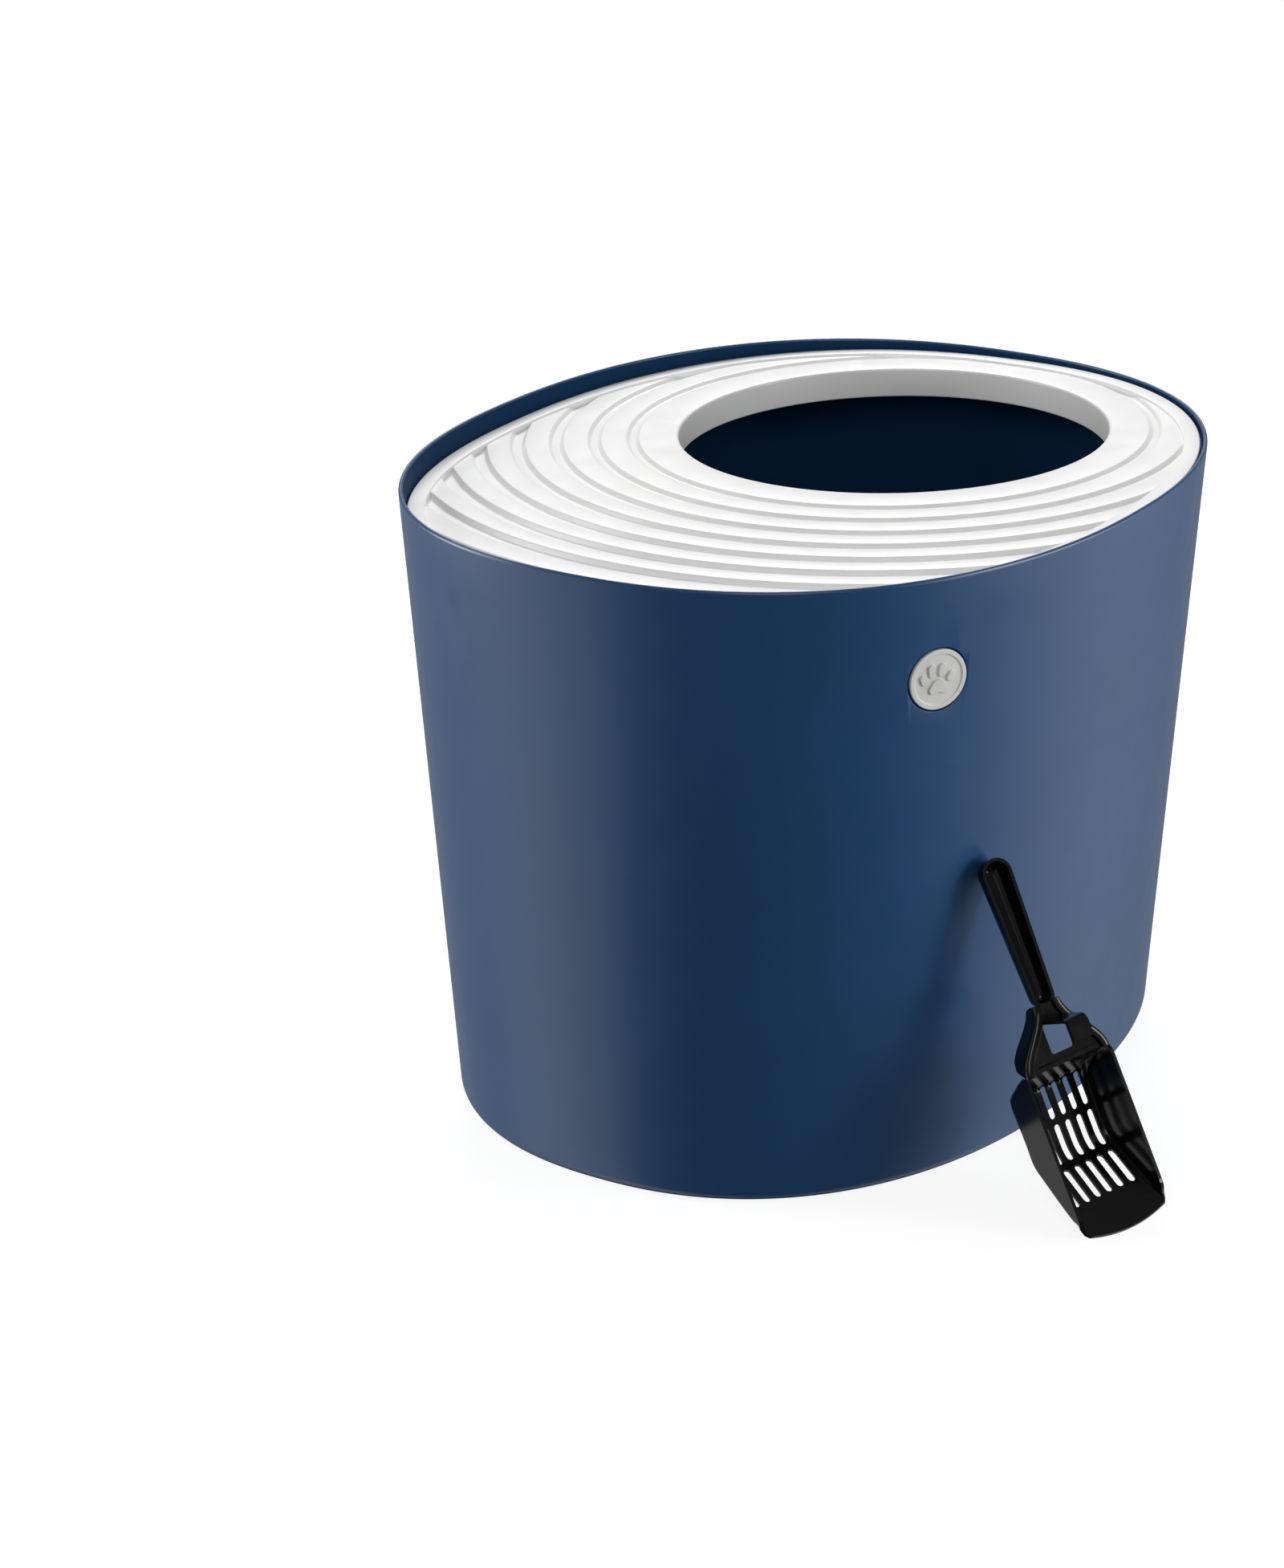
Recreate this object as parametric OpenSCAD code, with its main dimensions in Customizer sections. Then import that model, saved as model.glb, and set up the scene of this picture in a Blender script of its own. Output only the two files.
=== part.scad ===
// Top entry litter box: an oval bucket, a grooved lid with a round entry hole that
// lies down inside the rim, a round badge in the wall and a scoop that leans on the wall.
// Millimetres. Origin at the centre of the foot, +Z up, +X towards the hole's end.

/* [Bucket] */
// Height of the bucket
height = 370; // [310:1:445]
// Length over the rim
rim_length = 519.3; // [490:0.1:624]
// Width over the rim
rim_width = 432.7; // [400:0.1:480]
// Length over the foot, measured at the floor as if its edge were sharp
foot_length = 490.7; // [460:0.1:500]
// Width over the foot, measured at the floor as if its edge were sharp
foot_width = 374.3; // [350:0.1:400]
// Exponent of the oval: 2 is an ellipse, more is squarer
squareness = 2.25; // [2.1:0.01:2.6]
// Thickness of the wall and the floor
wall = 2.5; // [2:0.1:3.5]
// Radius of the foot's outer edge
foot_radius = 7; // [5:0.5:12]
// Reach of the ledge that carries the lid
ledge_width = 7.5; // [5:0.5:12]
// Thickness of that ledge
ledge_thick = 2.5; // [2:0.5:4]

/* [Lid] */
// Depth of the lid's field below the rim, at the origin
lid_depth = 9.7; // [6:0.1:20]
// Rise of the lid per millimetre towards the hole's end
lid_rise_x = 0.0151; // [0:0.0001:0.02]
// Rise of the lid per millimetre towards +Y, negative as it falls to the back
lid_rise_y = -0.0185; // [-0.02:0.0001:0.02]
// Height of the border above the field
border_step = 1.5; // [0.5:0.1:3]
// Thickness of the border
border_thick = 2.5; // [2:0.1:4]
// Gap between the border and the bucket's wall
lid_gap = 1; // [0.8:0.1:2]
// Gap between the skirt and the ledge's edge
skirt_gap = 1; // [0.6:0.1:3]
// Thickness of the skirt
skirt_thick = 2.5; // [2:0.1:4]
// Reach of the skirt below the border's top
skirt_height = 14; // [10:0.5:25]
// Thickness of the field
field_thick = 2.2; // [1.6:0.1:3]
// Gap between the border and its seat on the ledge
seat_gap = 0.3; // [0.2:0.1:0.6]

/* [Entry hole and grooves] */
// Radius of the entry hole
hole_radius = 130.6; // [100:0.1:133]
// Place of the hole along X
hole_x = 92.9; // [80:0.1:95]
// Place of the hole along Y
hole_y = -3.2; // [-6:0.1:6]
// Depth of the collar below the field
collar_height = 18.4; // [10:0.1:30]
// Thickness of the collar
collar_thick = 2.5; // [2:0.1:4]
// Radius of the edge between the field and the collar
collar_round = 2; // [1:0.1:2.5]
// Distance from the hole's centre to the middle of the first groove
groove_first = 158.5; // [145:0.1:165]
// Distance from one groove to the next
groove_pitch = 23.48; // [16:0.01:30]
// Number of grooves
groove_count = 8; // [3:1:8]
// Width of a groove at its top
groove_top = 7.5; // [5:0.1:9]
// Width of a groove at its bottom
groove_bottom = 3.8; // [2:0.1:4.8]
// Depth of a groove
groove_depth = 2.2; // [1:0.1:3]

/* [Badge] */
// Diameter of the badge
badge_diameter = 37.3; // [30:0.1:48]
// Place of the badge round the oval, as the oval's own angle
badge_angle = -126.4; // [-140:0.1:-40]
// Height of the badge's centre
badge_height = 311.2; // [250:0.1:320]
// Depth of the pocket in the wall
pocket_depth = 1.6; // [1:0.1:1.8]
// Gap round the badge in its pocket
pocket_gap = 0.3; // [0.2:0.05:0.8]
// How far the badge's ring stands out from the wall
badge_proud = 0.4; // [0.2:0.1:1]
// Width of the badge's ring
badge_ring = 2.8; // [2:0.1:4]
// Depth of the field inside the ring
badge_recess = 0.6; // [0.3:0.1:0.9]
// Height of the paw print above that field
paw_relief = 0.5; // [0.2:0.1:0.8]
// Diameter of the stem that goes through the wall
stem_diameter = 5.8; // [4:0.1:8]
// Diameter of the snap head behind the wall
head_diameter = 8; // [6.5:0.1:10]

/* [Scoop] */
// Length of the scoop
scoop_length = 219.8; // [200:0.1:250]
// Width of the pan
pan_width = 57.4; // [50:0.1:69]
// Length of the pan, from the lip to the inner back edge of its mouth
pan_length = 102; // [95:0.5:104]
// Outer depth of the pan
pan_depth = 38; // [30:0.5:46]
// Width of the pan's flat bottom
pan_bottom = 53.6; // [50:0.1:56]
// Distance from the lip to where the pan's bottom becomes flat
ramp_length = 46; // [40:0.5:50]
// Distance from the lip to the back of the flat bottom
bottom_end = 90; // [86:0.5:94]
// Set-back of the lip's corners behind its middle
lip_bow = 6.3; // [4:0.1:9]
// Thickness of the scoop's walls
scoop_wall = 2; // [1.6:0.1:2.4]
// Columns of slots
slot_columns = 6; // [4:1:6]
// Distance between slots
slot_pitch = 7.5; // [6:0.05:7.8]
// Width of a slot
slot_width = 4; // [3:0.1:4.5]
// Distance from the lip to the first row of slots
slot_start = 20.1; // [16:0.1:22]
// Lengths of the three rows of slots
slot_lengths = [18.8, 21.1, 22]; // [16:0.1:22]
// Bridge between two rows of slots
slot_bridge = 3.3; // [2:0.1:3.4]
// Width of the neck
neck_width = 13.8; // [12:0.1:16]
// Distance from the lip to the neck
neck_place = 131.6; // [130:0.1:138]
// Depth of the handle's channel at the neck, outside
neck_depth = 11; // [9:0.1:13]
// Width of the handle's rounded end
handle_width = 18.4; // [16:0.1:22]
// Depth of the handle's channel at its end, outside
handle_depth = 14; // [12:0.1:16]
// Width of the window
window_width = 14.8; // [12:0.1:16]
// Near end of the window, from the lip
window_start = 106; // [106:0.1:108]
// Length of the window
window_length = 17.5; // [15:0.1:18]
// Reach of the hook in front of the rim's plane
hook_reach = 30.2; // [20:0.1:40]
// Width of the hook
hook_width = 12.4; // [10:0.1:14]
// Length of the hook's flap
hook_flap = 12.5; // [8:0.1:14]
// Turn of the scoop about the vertical
scoop_turn = -34.1; // [-50:0.1:-20]
// Lean of the scoop from upright
scoop_lean = 24.8; // [20:0.1:28]
// Roll of the scoop in its own plane
scoop_roll = 11.3; // [5:0.1:16]
// Place round the oval where the handle meets the wall, as the oval's own angle
scoop_angle = -116.2; // [-125:0.1:-100]
// Gap between the scoop and what it stands on and leans on
rest_gap = 0.3; // [0.2:0.05:0.5]

/* [Hidden] */

// Corners of the faceted oval, and of the true curves
oval_corners = 96;
curve_corners = 96;
// Steps of a rounded edge
edge_steps = 4;
// Overlap of shapes that are joined, how far cuts run past a face, and corners of small rounds
overlap = 0.01;
cut_reach = 5;
round_corners = 32;
ball_corners = 24;
// Corners of the grooves' circles
groove_corners = 180;
// Radius of the inner corner between wall and floor, a little more than the wall asks for
floor_extra = 1;
floor_radius = foot_radius - wall + floor_extra;
// Height of the lid's seat at the origin
seat_height = height - lid_depth + border_step - border_thick - seat_gap;
// Insets from the outer wall, at the seat: the border, the ledge's edge and the skirt
border_inset = wall + lid_gap;
ledge_inset = wall + ledge_width;
skirt_inset = ledge_inset + skirt_gap;
field_inset = skirt_inset + skirt_thick;
// How far the skirt's top stays below the border's, and its lower edge, below the grooves at least
skirt_overlap = 1;
skirt_bottom = border_step - max(skirt_height, border_step + groove_depth + field_thick + skirt_overlap);
// Chamfer of the collar's lower edge
collar_edge = 0.8;
// Gap behind the badge, radii of the pocket and the badge's field, and heights of its back and field
badge_gap = 0.1;
pocket_radius = badge_diameter / 2 + pocket_gap;
field_radius = badge_diameter / 2 - badge_ring;
badge_back = -pocket_depth + badge_gap;
badge_field = badge_proud - badge_recess;
// Boss behind the pocket: its rim round it, its thickness, its back, and its front in the wall
boss_rim = 2;
boss_thick = 2.5;
boss_back = -wall - boss_thick;
boss_front = -1;
// Room round the stem, room before the snap head, its length and how much it narrows
stem_gap = 0.2;
head_gap = 0.2;
head_length = 2;
head_taper = 1;
// Paw print on a field of radius 16: toes as [x, y, width, length, lean], circles as [x, y, radius]
paw_radius = 16;
toes = [[2.9, 5.6, 4.2, 7.4, 6], [8.2, 1.2, 3.8, 6.4, 22]];
pad_lobe = [3.2, -6.2, 3];
pad_middle = [0, -4.2, 4.6];
pad_bite = [0, -11.6, 3.6];
// Radius of the lip's arc and of the corners in the pan's outline
corner_radius = 4;
shoulder_radius = 10;
lip_radius = (pow(pan_width / 2, 2) + pow(lip_bow, 2)) / (2 * lip_bow);
lip_half_angle = asin((pan_width / 2 - corner_radius) / (lip_radius - corner_radius));
lip_steps = 4;
// Radius of the pan's lower edges, and the slope of its ramp
pan_round = 5;
ramp_slope = (pan_depth - scoop_wall) / ramp_length;
// Radius of the handle's back, the radius at the neck, and the middle of its end
handle_inset = 1;
handle_round = min(handle_width / 2 - 2 * handle_inset, handle_depth / 2 - handle_inset);
neck_round = min(neck_width / 2 - handle_inset, neck_depth / 2 - overlap);
handle_end = scoop_length - handle_width / 2;
// Start of a row of slots, after the rows and bridges before it
function slot_row(k) = k == 0 ? slot_start : slot_row(k - 1) + slot_lengths[k - 1] + slot_bridge;
// Depth of the flanges beside the neck, and where they start, swell, deepen and are deepest
flange_depth = 15;
flange_start = pan_length - 4;
flange_step = [2, -1, -6, -12];
flange_rise = 4;
// How far the shoulders stand in from the pan's side, and how far they reach past the neck
shoulder_inset = 3;
shoulder_overlap = 3;
// Radius of the hook's bend
hook_round = 3;
// Steps of the outline from the shoulders to the neck
neck_steps = 12;

// Half length and half width of the outer wall at a height
function half_x(z) = (foot_length + (rim_length - foot_length) * z / height) / 2;
function half_y(z) = (foot_width + (rim_width - foot_width) * z / height) / 2;
// Growth of those halves per millimetre of height
grow_x = (rim_length - foot_length) / 2 / height;
grow_y = (rim_width - foot_width) / 2 / height;
// One direction of the oval, from a sine or cosine
function bulge(v) = sign(v) * pow(abs(v), 2 / squareness);
function oval_point(a, b, t) = [a * bulge(cos(t)), b * bulge(sin(t))];
function oval(a, b) = [for (i = [0:oval_corners - 1]) oval_point(a, b, 360 * i / oval_corners)];
// Outline of the bucket's wall at a height, drawn in by an inset
function wall_outline(z, inset) = oval(half_x(z) - inset, half_y(z) - inset);
// Height of the lid's slant at a point
function slant(p) = lid_rise_x * p.x + lid_rise_y * p.y;

// Point on the outer wall, and the wall's outward direction there
function wall_point(t, z) = concat(oval_point(half_x(z), half_y(z), t), z);
function normal_x(t, z) = sign(cos(t)) * pow(abs(cos(t)), 2 - 2 / squareness) / half_x(z);
function normal_y(t, z) = sign(sin(t)) * pow(abs(sin(t)), 2 - 2 / squareness) / half_y(z);
function normal_angle(t, z) = atan2(normal_y(t, z), normal_x(t, z));
function wall_tilt(t, z) = atan(cos(normal_angle(t, z)) * grow_x * bulge(cos(t))
    + sin(normal_angle(t, z)) * grow_y * bulge(sin(t)));
function wall_normal(t, z) = [cos(wall_tilt(t, z)) * cos(normal_angle(t, z)),
    cos(wall_tilt(t, z)) * sin(normal_angle(t, z)), -sin(wall_tilt(t, z))];

// A point of an outline after it has risen with the wall's taper
function risen(p, rise) = [p.x * (1 + rise * grow_x / half_x(seat_height)),
    p.y * (1 + rise * grow_y / half_y(seat_height))];
// A ring of the bucket's surface: [height, inset, share of the lid's slant]
function ring_points(r) = [for (p = wall_outline(r[0], r[1]))
    concat(risen(p, r[2] * slant(p)), r[0] + r[2] * slant(p))];
// An outline of the lid: the wall's outline where the slanted seat meets it, drawn in by an inset
function lid_outline(inset) = [for (p = wall_outline(seat_height, inset)) risen(p, slant(p))];

// The skin through a list of rings, closed by its first and last ring
module skin(rings) {
    n = oval_corners;
    last = (len(rings) - 1) * n;
    polyhedron(
        points = [for (r = rings) each ring_points(r)],
        faces = concat(
            [[for (i = [0:n - 1]) i]],
            [for (k = [0:len(rings) - 2]) for (i = [0:n - 1])
                let (a = k * n + i, b = k * n + (i + 1) % n)
                each [[a, a + n, b], [b, a + n, b + n]]],
            [[for (i = [n - 1:-1:0]) last + i]]
        )
    );
}

// Places its children on the wall: X to the right, Y up the wall, Z out of it
module on_wall(t, z) {
    translate(wall_point(t, z))
        rotate([0, 90 + wall_tilt(t, z), normal_angle(t, z)])
            rotate([0, 0, 90])
                children();
}

module ring_of(outer, inner, high) {
    linear_extrude(high)
        difference() {
            polygon(outer);
            polygon(inner);
        }
}

module bucket_shell() {
    foot = [for (k = [0:edge_steps]) let (a = 90 * k / edge_steps)
        [foot_radius * (1 - cos(a)), foot_radius * (1 - sin(a)), 0]];
    rim = [for (k = [0:edge_steps]) let (a = 180 * k / edge_steps)
        [height - wall / 2 * (1 - sin(a)), wall / 2 * (1 - cos(a)), 0]];
    seat = [[seat_height, wall, 1], [seat_height, ledge_inset, 1],
        [seat_height - ledge_thick, ledge_inset, 1],
        [seat_height - ledge_thick - ledge_width, wall, 1]];
    floor_edge = [for (k = [0:edge_steps]) let (a = 90 * k / edge_steps)
        [wall + floor_radius * (1 - sin(a)), wall + floor_radius * (1 - cos(a)), 0]];
    skin(concat(foot, rim, seat, floor_edge));
}

// Bucket with the pocket, boss and bore that hold the badge
module bucket() {
    color("#2f4a68")
        difference() {
            union() {
                bucket_shell();
                on_wall(badge_angle, badge_height)
                    translate([0, 0, boss_back])
                        cylinder(r = pocket_radius + boss_rim, h = boss_front - boss_back,
                            $fn = curve_corners);
            }
            on_wall(badge_angle, badge_height) {
                translate([0, 0, -pocket_depth])
                    cylinder(r = pocket_radius, h = pocket_depth + cut_reach, $fn = curve_corners);
                translate([0, 0, boss_back - cut_reach])
                    cylinder(d = stem_diameter + stem_gap * 2, h = 2 * cut_reach, $fn = curve_corners);
            }
        }
}

// Section of one groove, from its inner top edge to its outer top edge
function groove(k) = let (r = groove_first + k * groove_pitch) [
    [r - groove_top / 2, 0], [r - groove_bottom / 2, -groove_depth],
    [r + groove_bottom / 2, -groove_depth], [r + groove_top / 2, 0]];
// Radius beyond the farthest end of the lid
field_reach = norm([half_x(height), half_y(height)]) + norm([hole_x, hole_y]);
// Section of the grooved field with the rounded edge and the collar
function field_top() = concat(
    [for (k = [0:edge_steps]) let (a = 90 * k / edge_steps)
        [hole_radius + collar_round * (1 - cos(a)), -collar_round * (1 - sin(a))]],
    [for (k = [0:groove_count - 1]) each groove(k)], [[field_reach, 0]]);
function field_under() = concat([[field_reach, -field_thick]],
    [for (k = [groove_count - 1:-1:0]) for (j = [3:-1:0]) groove(k)[j] - [0, field_thick]],
    [[hole_radius + collar_thick, -field_thick]]);
function collar_end() = [[hole_radius + collar_thick, collar_edge - collar_height],
    [hole_radius + collar_thick - collar_edge, -collar_height],
    [hole_radius + collar_edge, -collar_height], [hole_radius, collar_edge - collar_height]];

// The grooved field, cut to the oval inside the skirt
module field() {
    translate([hole_x, hole_y, 0])
        rotate_extrude($fn = groove_corners)
            polygon(concat(field_top(), field_under(), collar_end()));
}

// Lid with its border, skirt, grooved field and collar
module lid() {
    color("#f2f2f0")
        translate([0, 0, height - lid_depth])
            rotate([atan(lid_rise_y), -atan(lid_rise_x), 0])
                union() {
                    translate([0, 0, border_step - border_thick])
                        ring_of(lid_outline(border_inset), lid_outline(field_inset), border_thick);
                    translate([0, 0, skirt_bottom])
                        ring_of(lid_outline(skirt_inset), lid_outline(field_inset),
                            border_step - skirt_overlap - skirt_bottom);
                    intersection() {
                        field();
                        translate([0, 0, -collar_height - cut_reach])
                            linear_extrude(collar_height + 2 * cut_reach)
                                polygon(lid_outline(skirt_inset + skirt_thick / 2));
                    }
                }
}

// Toe of the paw: a bar with round ends, leaning outwards
module toe(t, side) {
    gap = t[3] - t[2];
    translate([side * t[0], t[1]])
        rotate(-side * t[4]) {
            for (end = [-1, 1])
                translate([0, end * gap / 2])
                    circle(d = t[2], $fn = curve_corners);
            square([t[2], gap], center = true);
        }
}

// Circle of the paw's pad
module lobe(c, side) {
    translate([side * c[0], c[1]])
        circle(r = c[2], $fn = curve_corners);
}

// Generic paw print, sized to a field of the given radius
module paw(radius) {
    scale(radius / paw_radius) {
        for (side = [-1, 1]) {
            for (t = toes)
                toe(t, side);
            lobe(pad_lobe, side);
        }
        difference() {
            lobe(pad_middle, 1);
            lobe(pad_bite, 1);
        }
    }
}

// Round badge with a raised ring, a paw print, a stem and a snap head
module badge() {
    color("#c8c8c8")
        on_wall(badge_angle, badge_height) {
            difference() {
                translate([0, 0, badge_back])
                    cylinder(d = badge_diameter, h = badge_proud - badge_back, $fn = curve_corners);
                translate([0, 0, badge_field])
                    cylinder(r = field_radius, h = badge_recess + cut_reach, $fn = curve_corners);
            }
            translate([0, 0, badge_field - overlap])
                linear_extrude(paw_relief + overlap)
                    paw(field_radius);
            translate([0, 0, boss_back - head_gap - overlap])
                cylinder(d = stem_diameter, h = badge_back - boss_back + head_gap + 2 * overlap,
                    $fn = curve_corners);
            translate([0, 0, boss_back - head_gap - head_length])
                cylinder(d1 = stem_diameter - head_taper, d2 = head_diameter, h = head_length,
                    $fn = curve_corners);
        }
}

// The scoop's own frame: X across, Y from the lip to the handle, Z out of its mouth
function about_x(v, a) = [v.x, v.y * cos(a) - v.z * sin(a), v.y * sin(a) + v.z * cos(a)];
function about_y(v, a) = [v.x * cos(a) + v.z * sin(a), v.y, v.z * cos(a) - v.x * sin(a)];
function about_z(v, a) = [v.x * cos(a) - v.y * sin(a), v.x * sin(a) + v.y * cos(a), v.z];
function stand(v) = about_z(about_x(about_y(about_x(v, 90), -scoop_roll), -scoop_lean), scoop_turn);
// Height of the lip's middle, from its lowest point on the floor
lip_height = rest_gap + scoop_wall * stand([0, 0, 1]).z
    + lip_radius * (norm([stand([1, 0, 0]).z, stand([0, 1, 0]).z]) - stand([0, 1, 0]).z);
// The round back of the handle's end touches the wall, apart from the gap
handle_tip = stand([0, handle_end, handle_round - handle_depth]);
tip_height = lip_height + handle_tip.z;
tip_normal = wall_normal(scoop_angle, tip_height);
tip_reach = handle_round + rest_gap;
tip_wall = wall_point(scoop_angle, tip_height - tip_normal.z * tip_reach);
scoop_place = tip_wall + tip_normal * tip_reach - handle_tip;

// Rim of the pan as thin discs: the bowed lip, and the shoulders
module pan_rim(inset, low, high) {
    translate([0, 0, low])
        linear_extrude(high - low) {
            for (k = [-lip_steps:lip_steps]) {
                a = lip_half_angle * k / lip_steps;
                r = lip_radius - corner_radius;
                translate([r * sin(a), lip_radius - r * cos(a)])
                    circle(r = corner_radius - inset, $fn = ball_corners);
            }
            for (side = [-1, 1])
                translate([side * (pan_width / 2 - shoulder_radius), pan_length - shoulder_radius + scoop_wall])
                    circle(r = shoulder_radius - inset, $fn = round_corners);
        }
}

// Lower edges of the pan as round bars along its flat bottom
module pan_base(inset) {
    r = pan_round - inset;
    for (side = [-1, 1], y = [ramp_length, bottom_end - pan_round])
        translate([side * (pan_bottom / 2 - pan_round), y, pan_round - pan_depth])
            sphere(r = r, $fn = ball_corners);
}

// Pan with an open mouth and an open lip
module pan() {
    difference() {
        hull() {
            pan_rim(0, -scoop_wall, 0);
            pan_base(0);
        }
        hull() {
            pan_rim(scoop_wall, 0, 1);
            translate([0, -2 * corner_radius, 2 * corner_radius * ramp_slope])
                pan_rim(scoop_wall, 0, 1);
            pan_base(scoop_wall);
        }
        for (row = [0:len(slot_lengths) - 1], k = [0:slot_columns - 1])
            translate([(k - (slot_columns - 1) / 2) * slot_pitch, slot_row(row), -pan_depth - overlap])
                slot(slot_lengths[row]);
    }
}

// A slot with round ends, cut straight through the floor
module slot(long) {
    linear_extrude(pan_depth - scoop_wall) {
        for (y = [slot_width / 2, long - slot_width / 2])
            translate([0, y])
                circle(d = slot_width, $fn = round_corners);
        translate([-slot_width / 2, slot_width / 2])
            square([slot_width, long - slot_width]);
    }
}

// Half width of the shoulders: wide at the pan, narrow at the neck, smooth between
function shoulder_half(t) = neck_width / 2
    + (pan_width / 2 - shoulder_inset - neck_width / 2) * (1 + cos(180 * t)) / 2;
function shoulder_side(inset, side) = [for (k = [0:neck_steps]) let (t = k / neck_steps)
    [side * (shoulder_half(t) - inset),
        flange_start + t * (neck_place + shoulder_overlap - flange_start)]];
function shoulder_outline(inset) = let (right = shoulder_side(inset, 1), left = shoulder_side(inset, -1))
    concat(right, [for (k = [neck_steps:-1:0]) left[k]]);

// Shoulders: a plate level with the rim, with a flange down each side and a window
module shoulders() {
    translate([0, 0, -scoop_wall])
        linear_extrude(scoop_wall)
            difference() {
                polygon(shoulder_outline(0));
                translate([-window_width / 2, window_start])
                    square([window_width, window_length]);
                translate([-pan_bottom / 2, 0])
                    square([pan_bottom, pan_length]);
            }
    intersection() {
        translate([0, 0, -flange_depth])
            linear_extrude(flange_depth)
                difference() {
                    polygon(shoulder_outline(0));
                    polygon(shoulder_outline(scoop_wall));
                }
        translate([pan_width / 2, 0, 0])
            rotate([90, 0, -90])
                linear_extrude(pan_width)
                    polygon([[flange_step[0] - pan_length, 0],
                        [flange_step[1] - pan_length, flange_rise - flange_depth],
                        [flange_step[2] - pan_length, -flange_depth],
                        [flange_step[3] - pan_length, -flange_depth],
                        [flange_step[1] - neck_place, handle_inset - neck_depth],
                        [-flange_rise - neck_place, 0]]);
    }
}

// Hook: a strap out from the window's far edge, a bend, and a flap back towards the pan
module hook() {
    far = window_start + window_length;
    translate([hook_width / 2, 0, 0])
        rotate([90, 0, -90])
            linear_extrude(hook_width) {
                translate([-far - scoop_wall, -scoop_wall])
                    square([scoop_wall, hook_reach + scoop_wall - hook_round]);
                translate([-far - scoop_wall + hook_round, hook_reach - scoop_wall])
                    square([hook_flap + scoop_wall - hook_round, scoop_wall]);
                translate([-far - scoop_wall + hook_round, hook_reach - hook_round])
                    difference() {
                        circle(r = hook_round, $fn = round_corners);
                        circle(r = hook_round - scoop_wall, $fn = round_corners);
                        translate([0, -hook_round])
                            square([hook_round, 2 * hook_round]);
                        translate([-hook_round, -hook_round])
                            square([2 * hook_round, hook_round]);
                    }
            }
}

// Channel handle, narrow at the neck and round at its end
module handle_form(inset, top) {
    translate([0, 0, -handle_inset])
        linear_extrude(top + handle_inset) {
            translate([0, handle_end])
                circle(d = handle_width - 2 * inset, $fn = round_corners);
            translate([0, neck_place + neck_width / 2])
                circle(d = neck_width - 2 * inset, $fn = round_corners);
        }
    translate([0, handle_end, handle_round - handle_depth])
        sphere(r = handle_round - inset, $fn = round_corners);
    translate([0, neck_place + neck_width / 2, neck_round - neck_depth])
        sphere(r = neck_round - inset, $fn = round_corners);
}

module handle() {
    difference() {
        hull()
            handle_form(0, 0);
        hull()
            handle_form(scoop_wall, 1);
    }
}

// Scoop, standing on its lip and leaning on the wall
module scoop() {
    color("#141414")
        translate(scoop_place)
            rotate([0, 0, scoop_turn])
                rotate([-scoop_lean, 0, 0])
                    rotate([0, -scoop_roll, 0])
                        rotate([90, 0, 0])
                            union() {
                                pan();
                                shoulders();
                                hook();
                                handle();
                            }
}

bucket();
lid();
badge();
scoop();
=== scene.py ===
import math

import bmesh
import bpy
import numpy as np
from mathutils import Matrix


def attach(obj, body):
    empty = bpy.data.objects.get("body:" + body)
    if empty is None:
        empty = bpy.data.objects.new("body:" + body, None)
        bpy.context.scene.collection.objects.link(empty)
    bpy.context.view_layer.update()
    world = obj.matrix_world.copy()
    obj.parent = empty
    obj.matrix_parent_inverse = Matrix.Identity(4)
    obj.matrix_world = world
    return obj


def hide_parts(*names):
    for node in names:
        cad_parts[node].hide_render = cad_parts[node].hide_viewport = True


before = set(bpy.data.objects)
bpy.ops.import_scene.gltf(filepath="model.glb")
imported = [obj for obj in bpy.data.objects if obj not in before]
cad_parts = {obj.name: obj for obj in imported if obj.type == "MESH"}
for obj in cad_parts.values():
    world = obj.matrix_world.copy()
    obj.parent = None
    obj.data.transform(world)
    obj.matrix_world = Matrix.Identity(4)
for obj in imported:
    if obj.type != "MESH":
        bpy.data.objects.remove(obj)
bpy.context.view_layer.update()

# Sizes below are in millimetres, in the same frame as the CAD part. Meshes are written in metres.
millimetre = 0.001


def unitVector(v):
    # The vector over its own length.
    v = np.asarray(v, float)
    return v / np.linalg.norm(v)


def turnAbout(axis, degrees):
    # Matrix of a turn about the X, Y or Z axis.
    return np.array(Matrix.Rotation(math.radians(degrees), 3, axis))


def fullTurn(count):
    # Angles of a whole turn in equal steps. The last would be the first again, so it is left out.
    return np.linspace(0, 2 * math.pi, count + 1)[:-1]


def gridQuads(rows, columns, closed=True):
    # Quads between neighbouring rows and columns of a grid whose points run row by row.
    # A closed grid also joins its last column to its first.
    r, c = np.meshgrid(np.arange(rows - 1), np.arange(columns if closed else columns - 1), indexing="ij")
    n = (c + 1) % columns
    quads = np.stack([r * columns + c, r * columns + n, (r + 1) * columns + n, (r + 1) * columns + c], -1)
    return quads.reshape(-1, 4)


def loopQuads(rows, columns):
    # Quads of a grid that is closed both ways: its last row also joins its first.
    return gridQuads(rows + 1, columns) % (rows * columns)


def weld(points, quads, step=0.0005):
    # Points that round to the same step become one, and quads that lose a corner become triangles.
    keys = np.round(points / step).astype(np.int64)
    first, back = np.unique(keys, axis=0, return_index=True, return_inverse=True)[1:]
    q = back.reshape(-1)[quads]
    same = q == np.roll(q, -1, axis=1)
    crossed = (q[:, 0] == q[:, 2]) | (q[:, 1] == q[:, 3])
    count = same.sum(axis=1)
    faces = q[(count == 0) & ~crossed].tolist()
    for k in range(4):
        chosen = (count == 1) & same[:, k] & ~crossed
        faces += np.delete(q[chosen], k, axis=1).tolist()
    return points[first], faces


def addObject(name, data):
    # Object with the given mesh, light or camera, in the scene.
    obj = bpy.data.objects.new(name, data)
    bpy.context.scene.collection.objects.link(obj)
    return obj


def makeObject(name, points, faces, material):
    # Mesh in metres from points in millimetres, as an object of the scene.
    mesh = bpy.data.meshes.new(name)
    mesh.from_pydata((points * millimetre).tolist(), [], faces)
    mesh.update()
    mesh.materials.append(material)
    return addObject(name, mesh)


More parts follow.
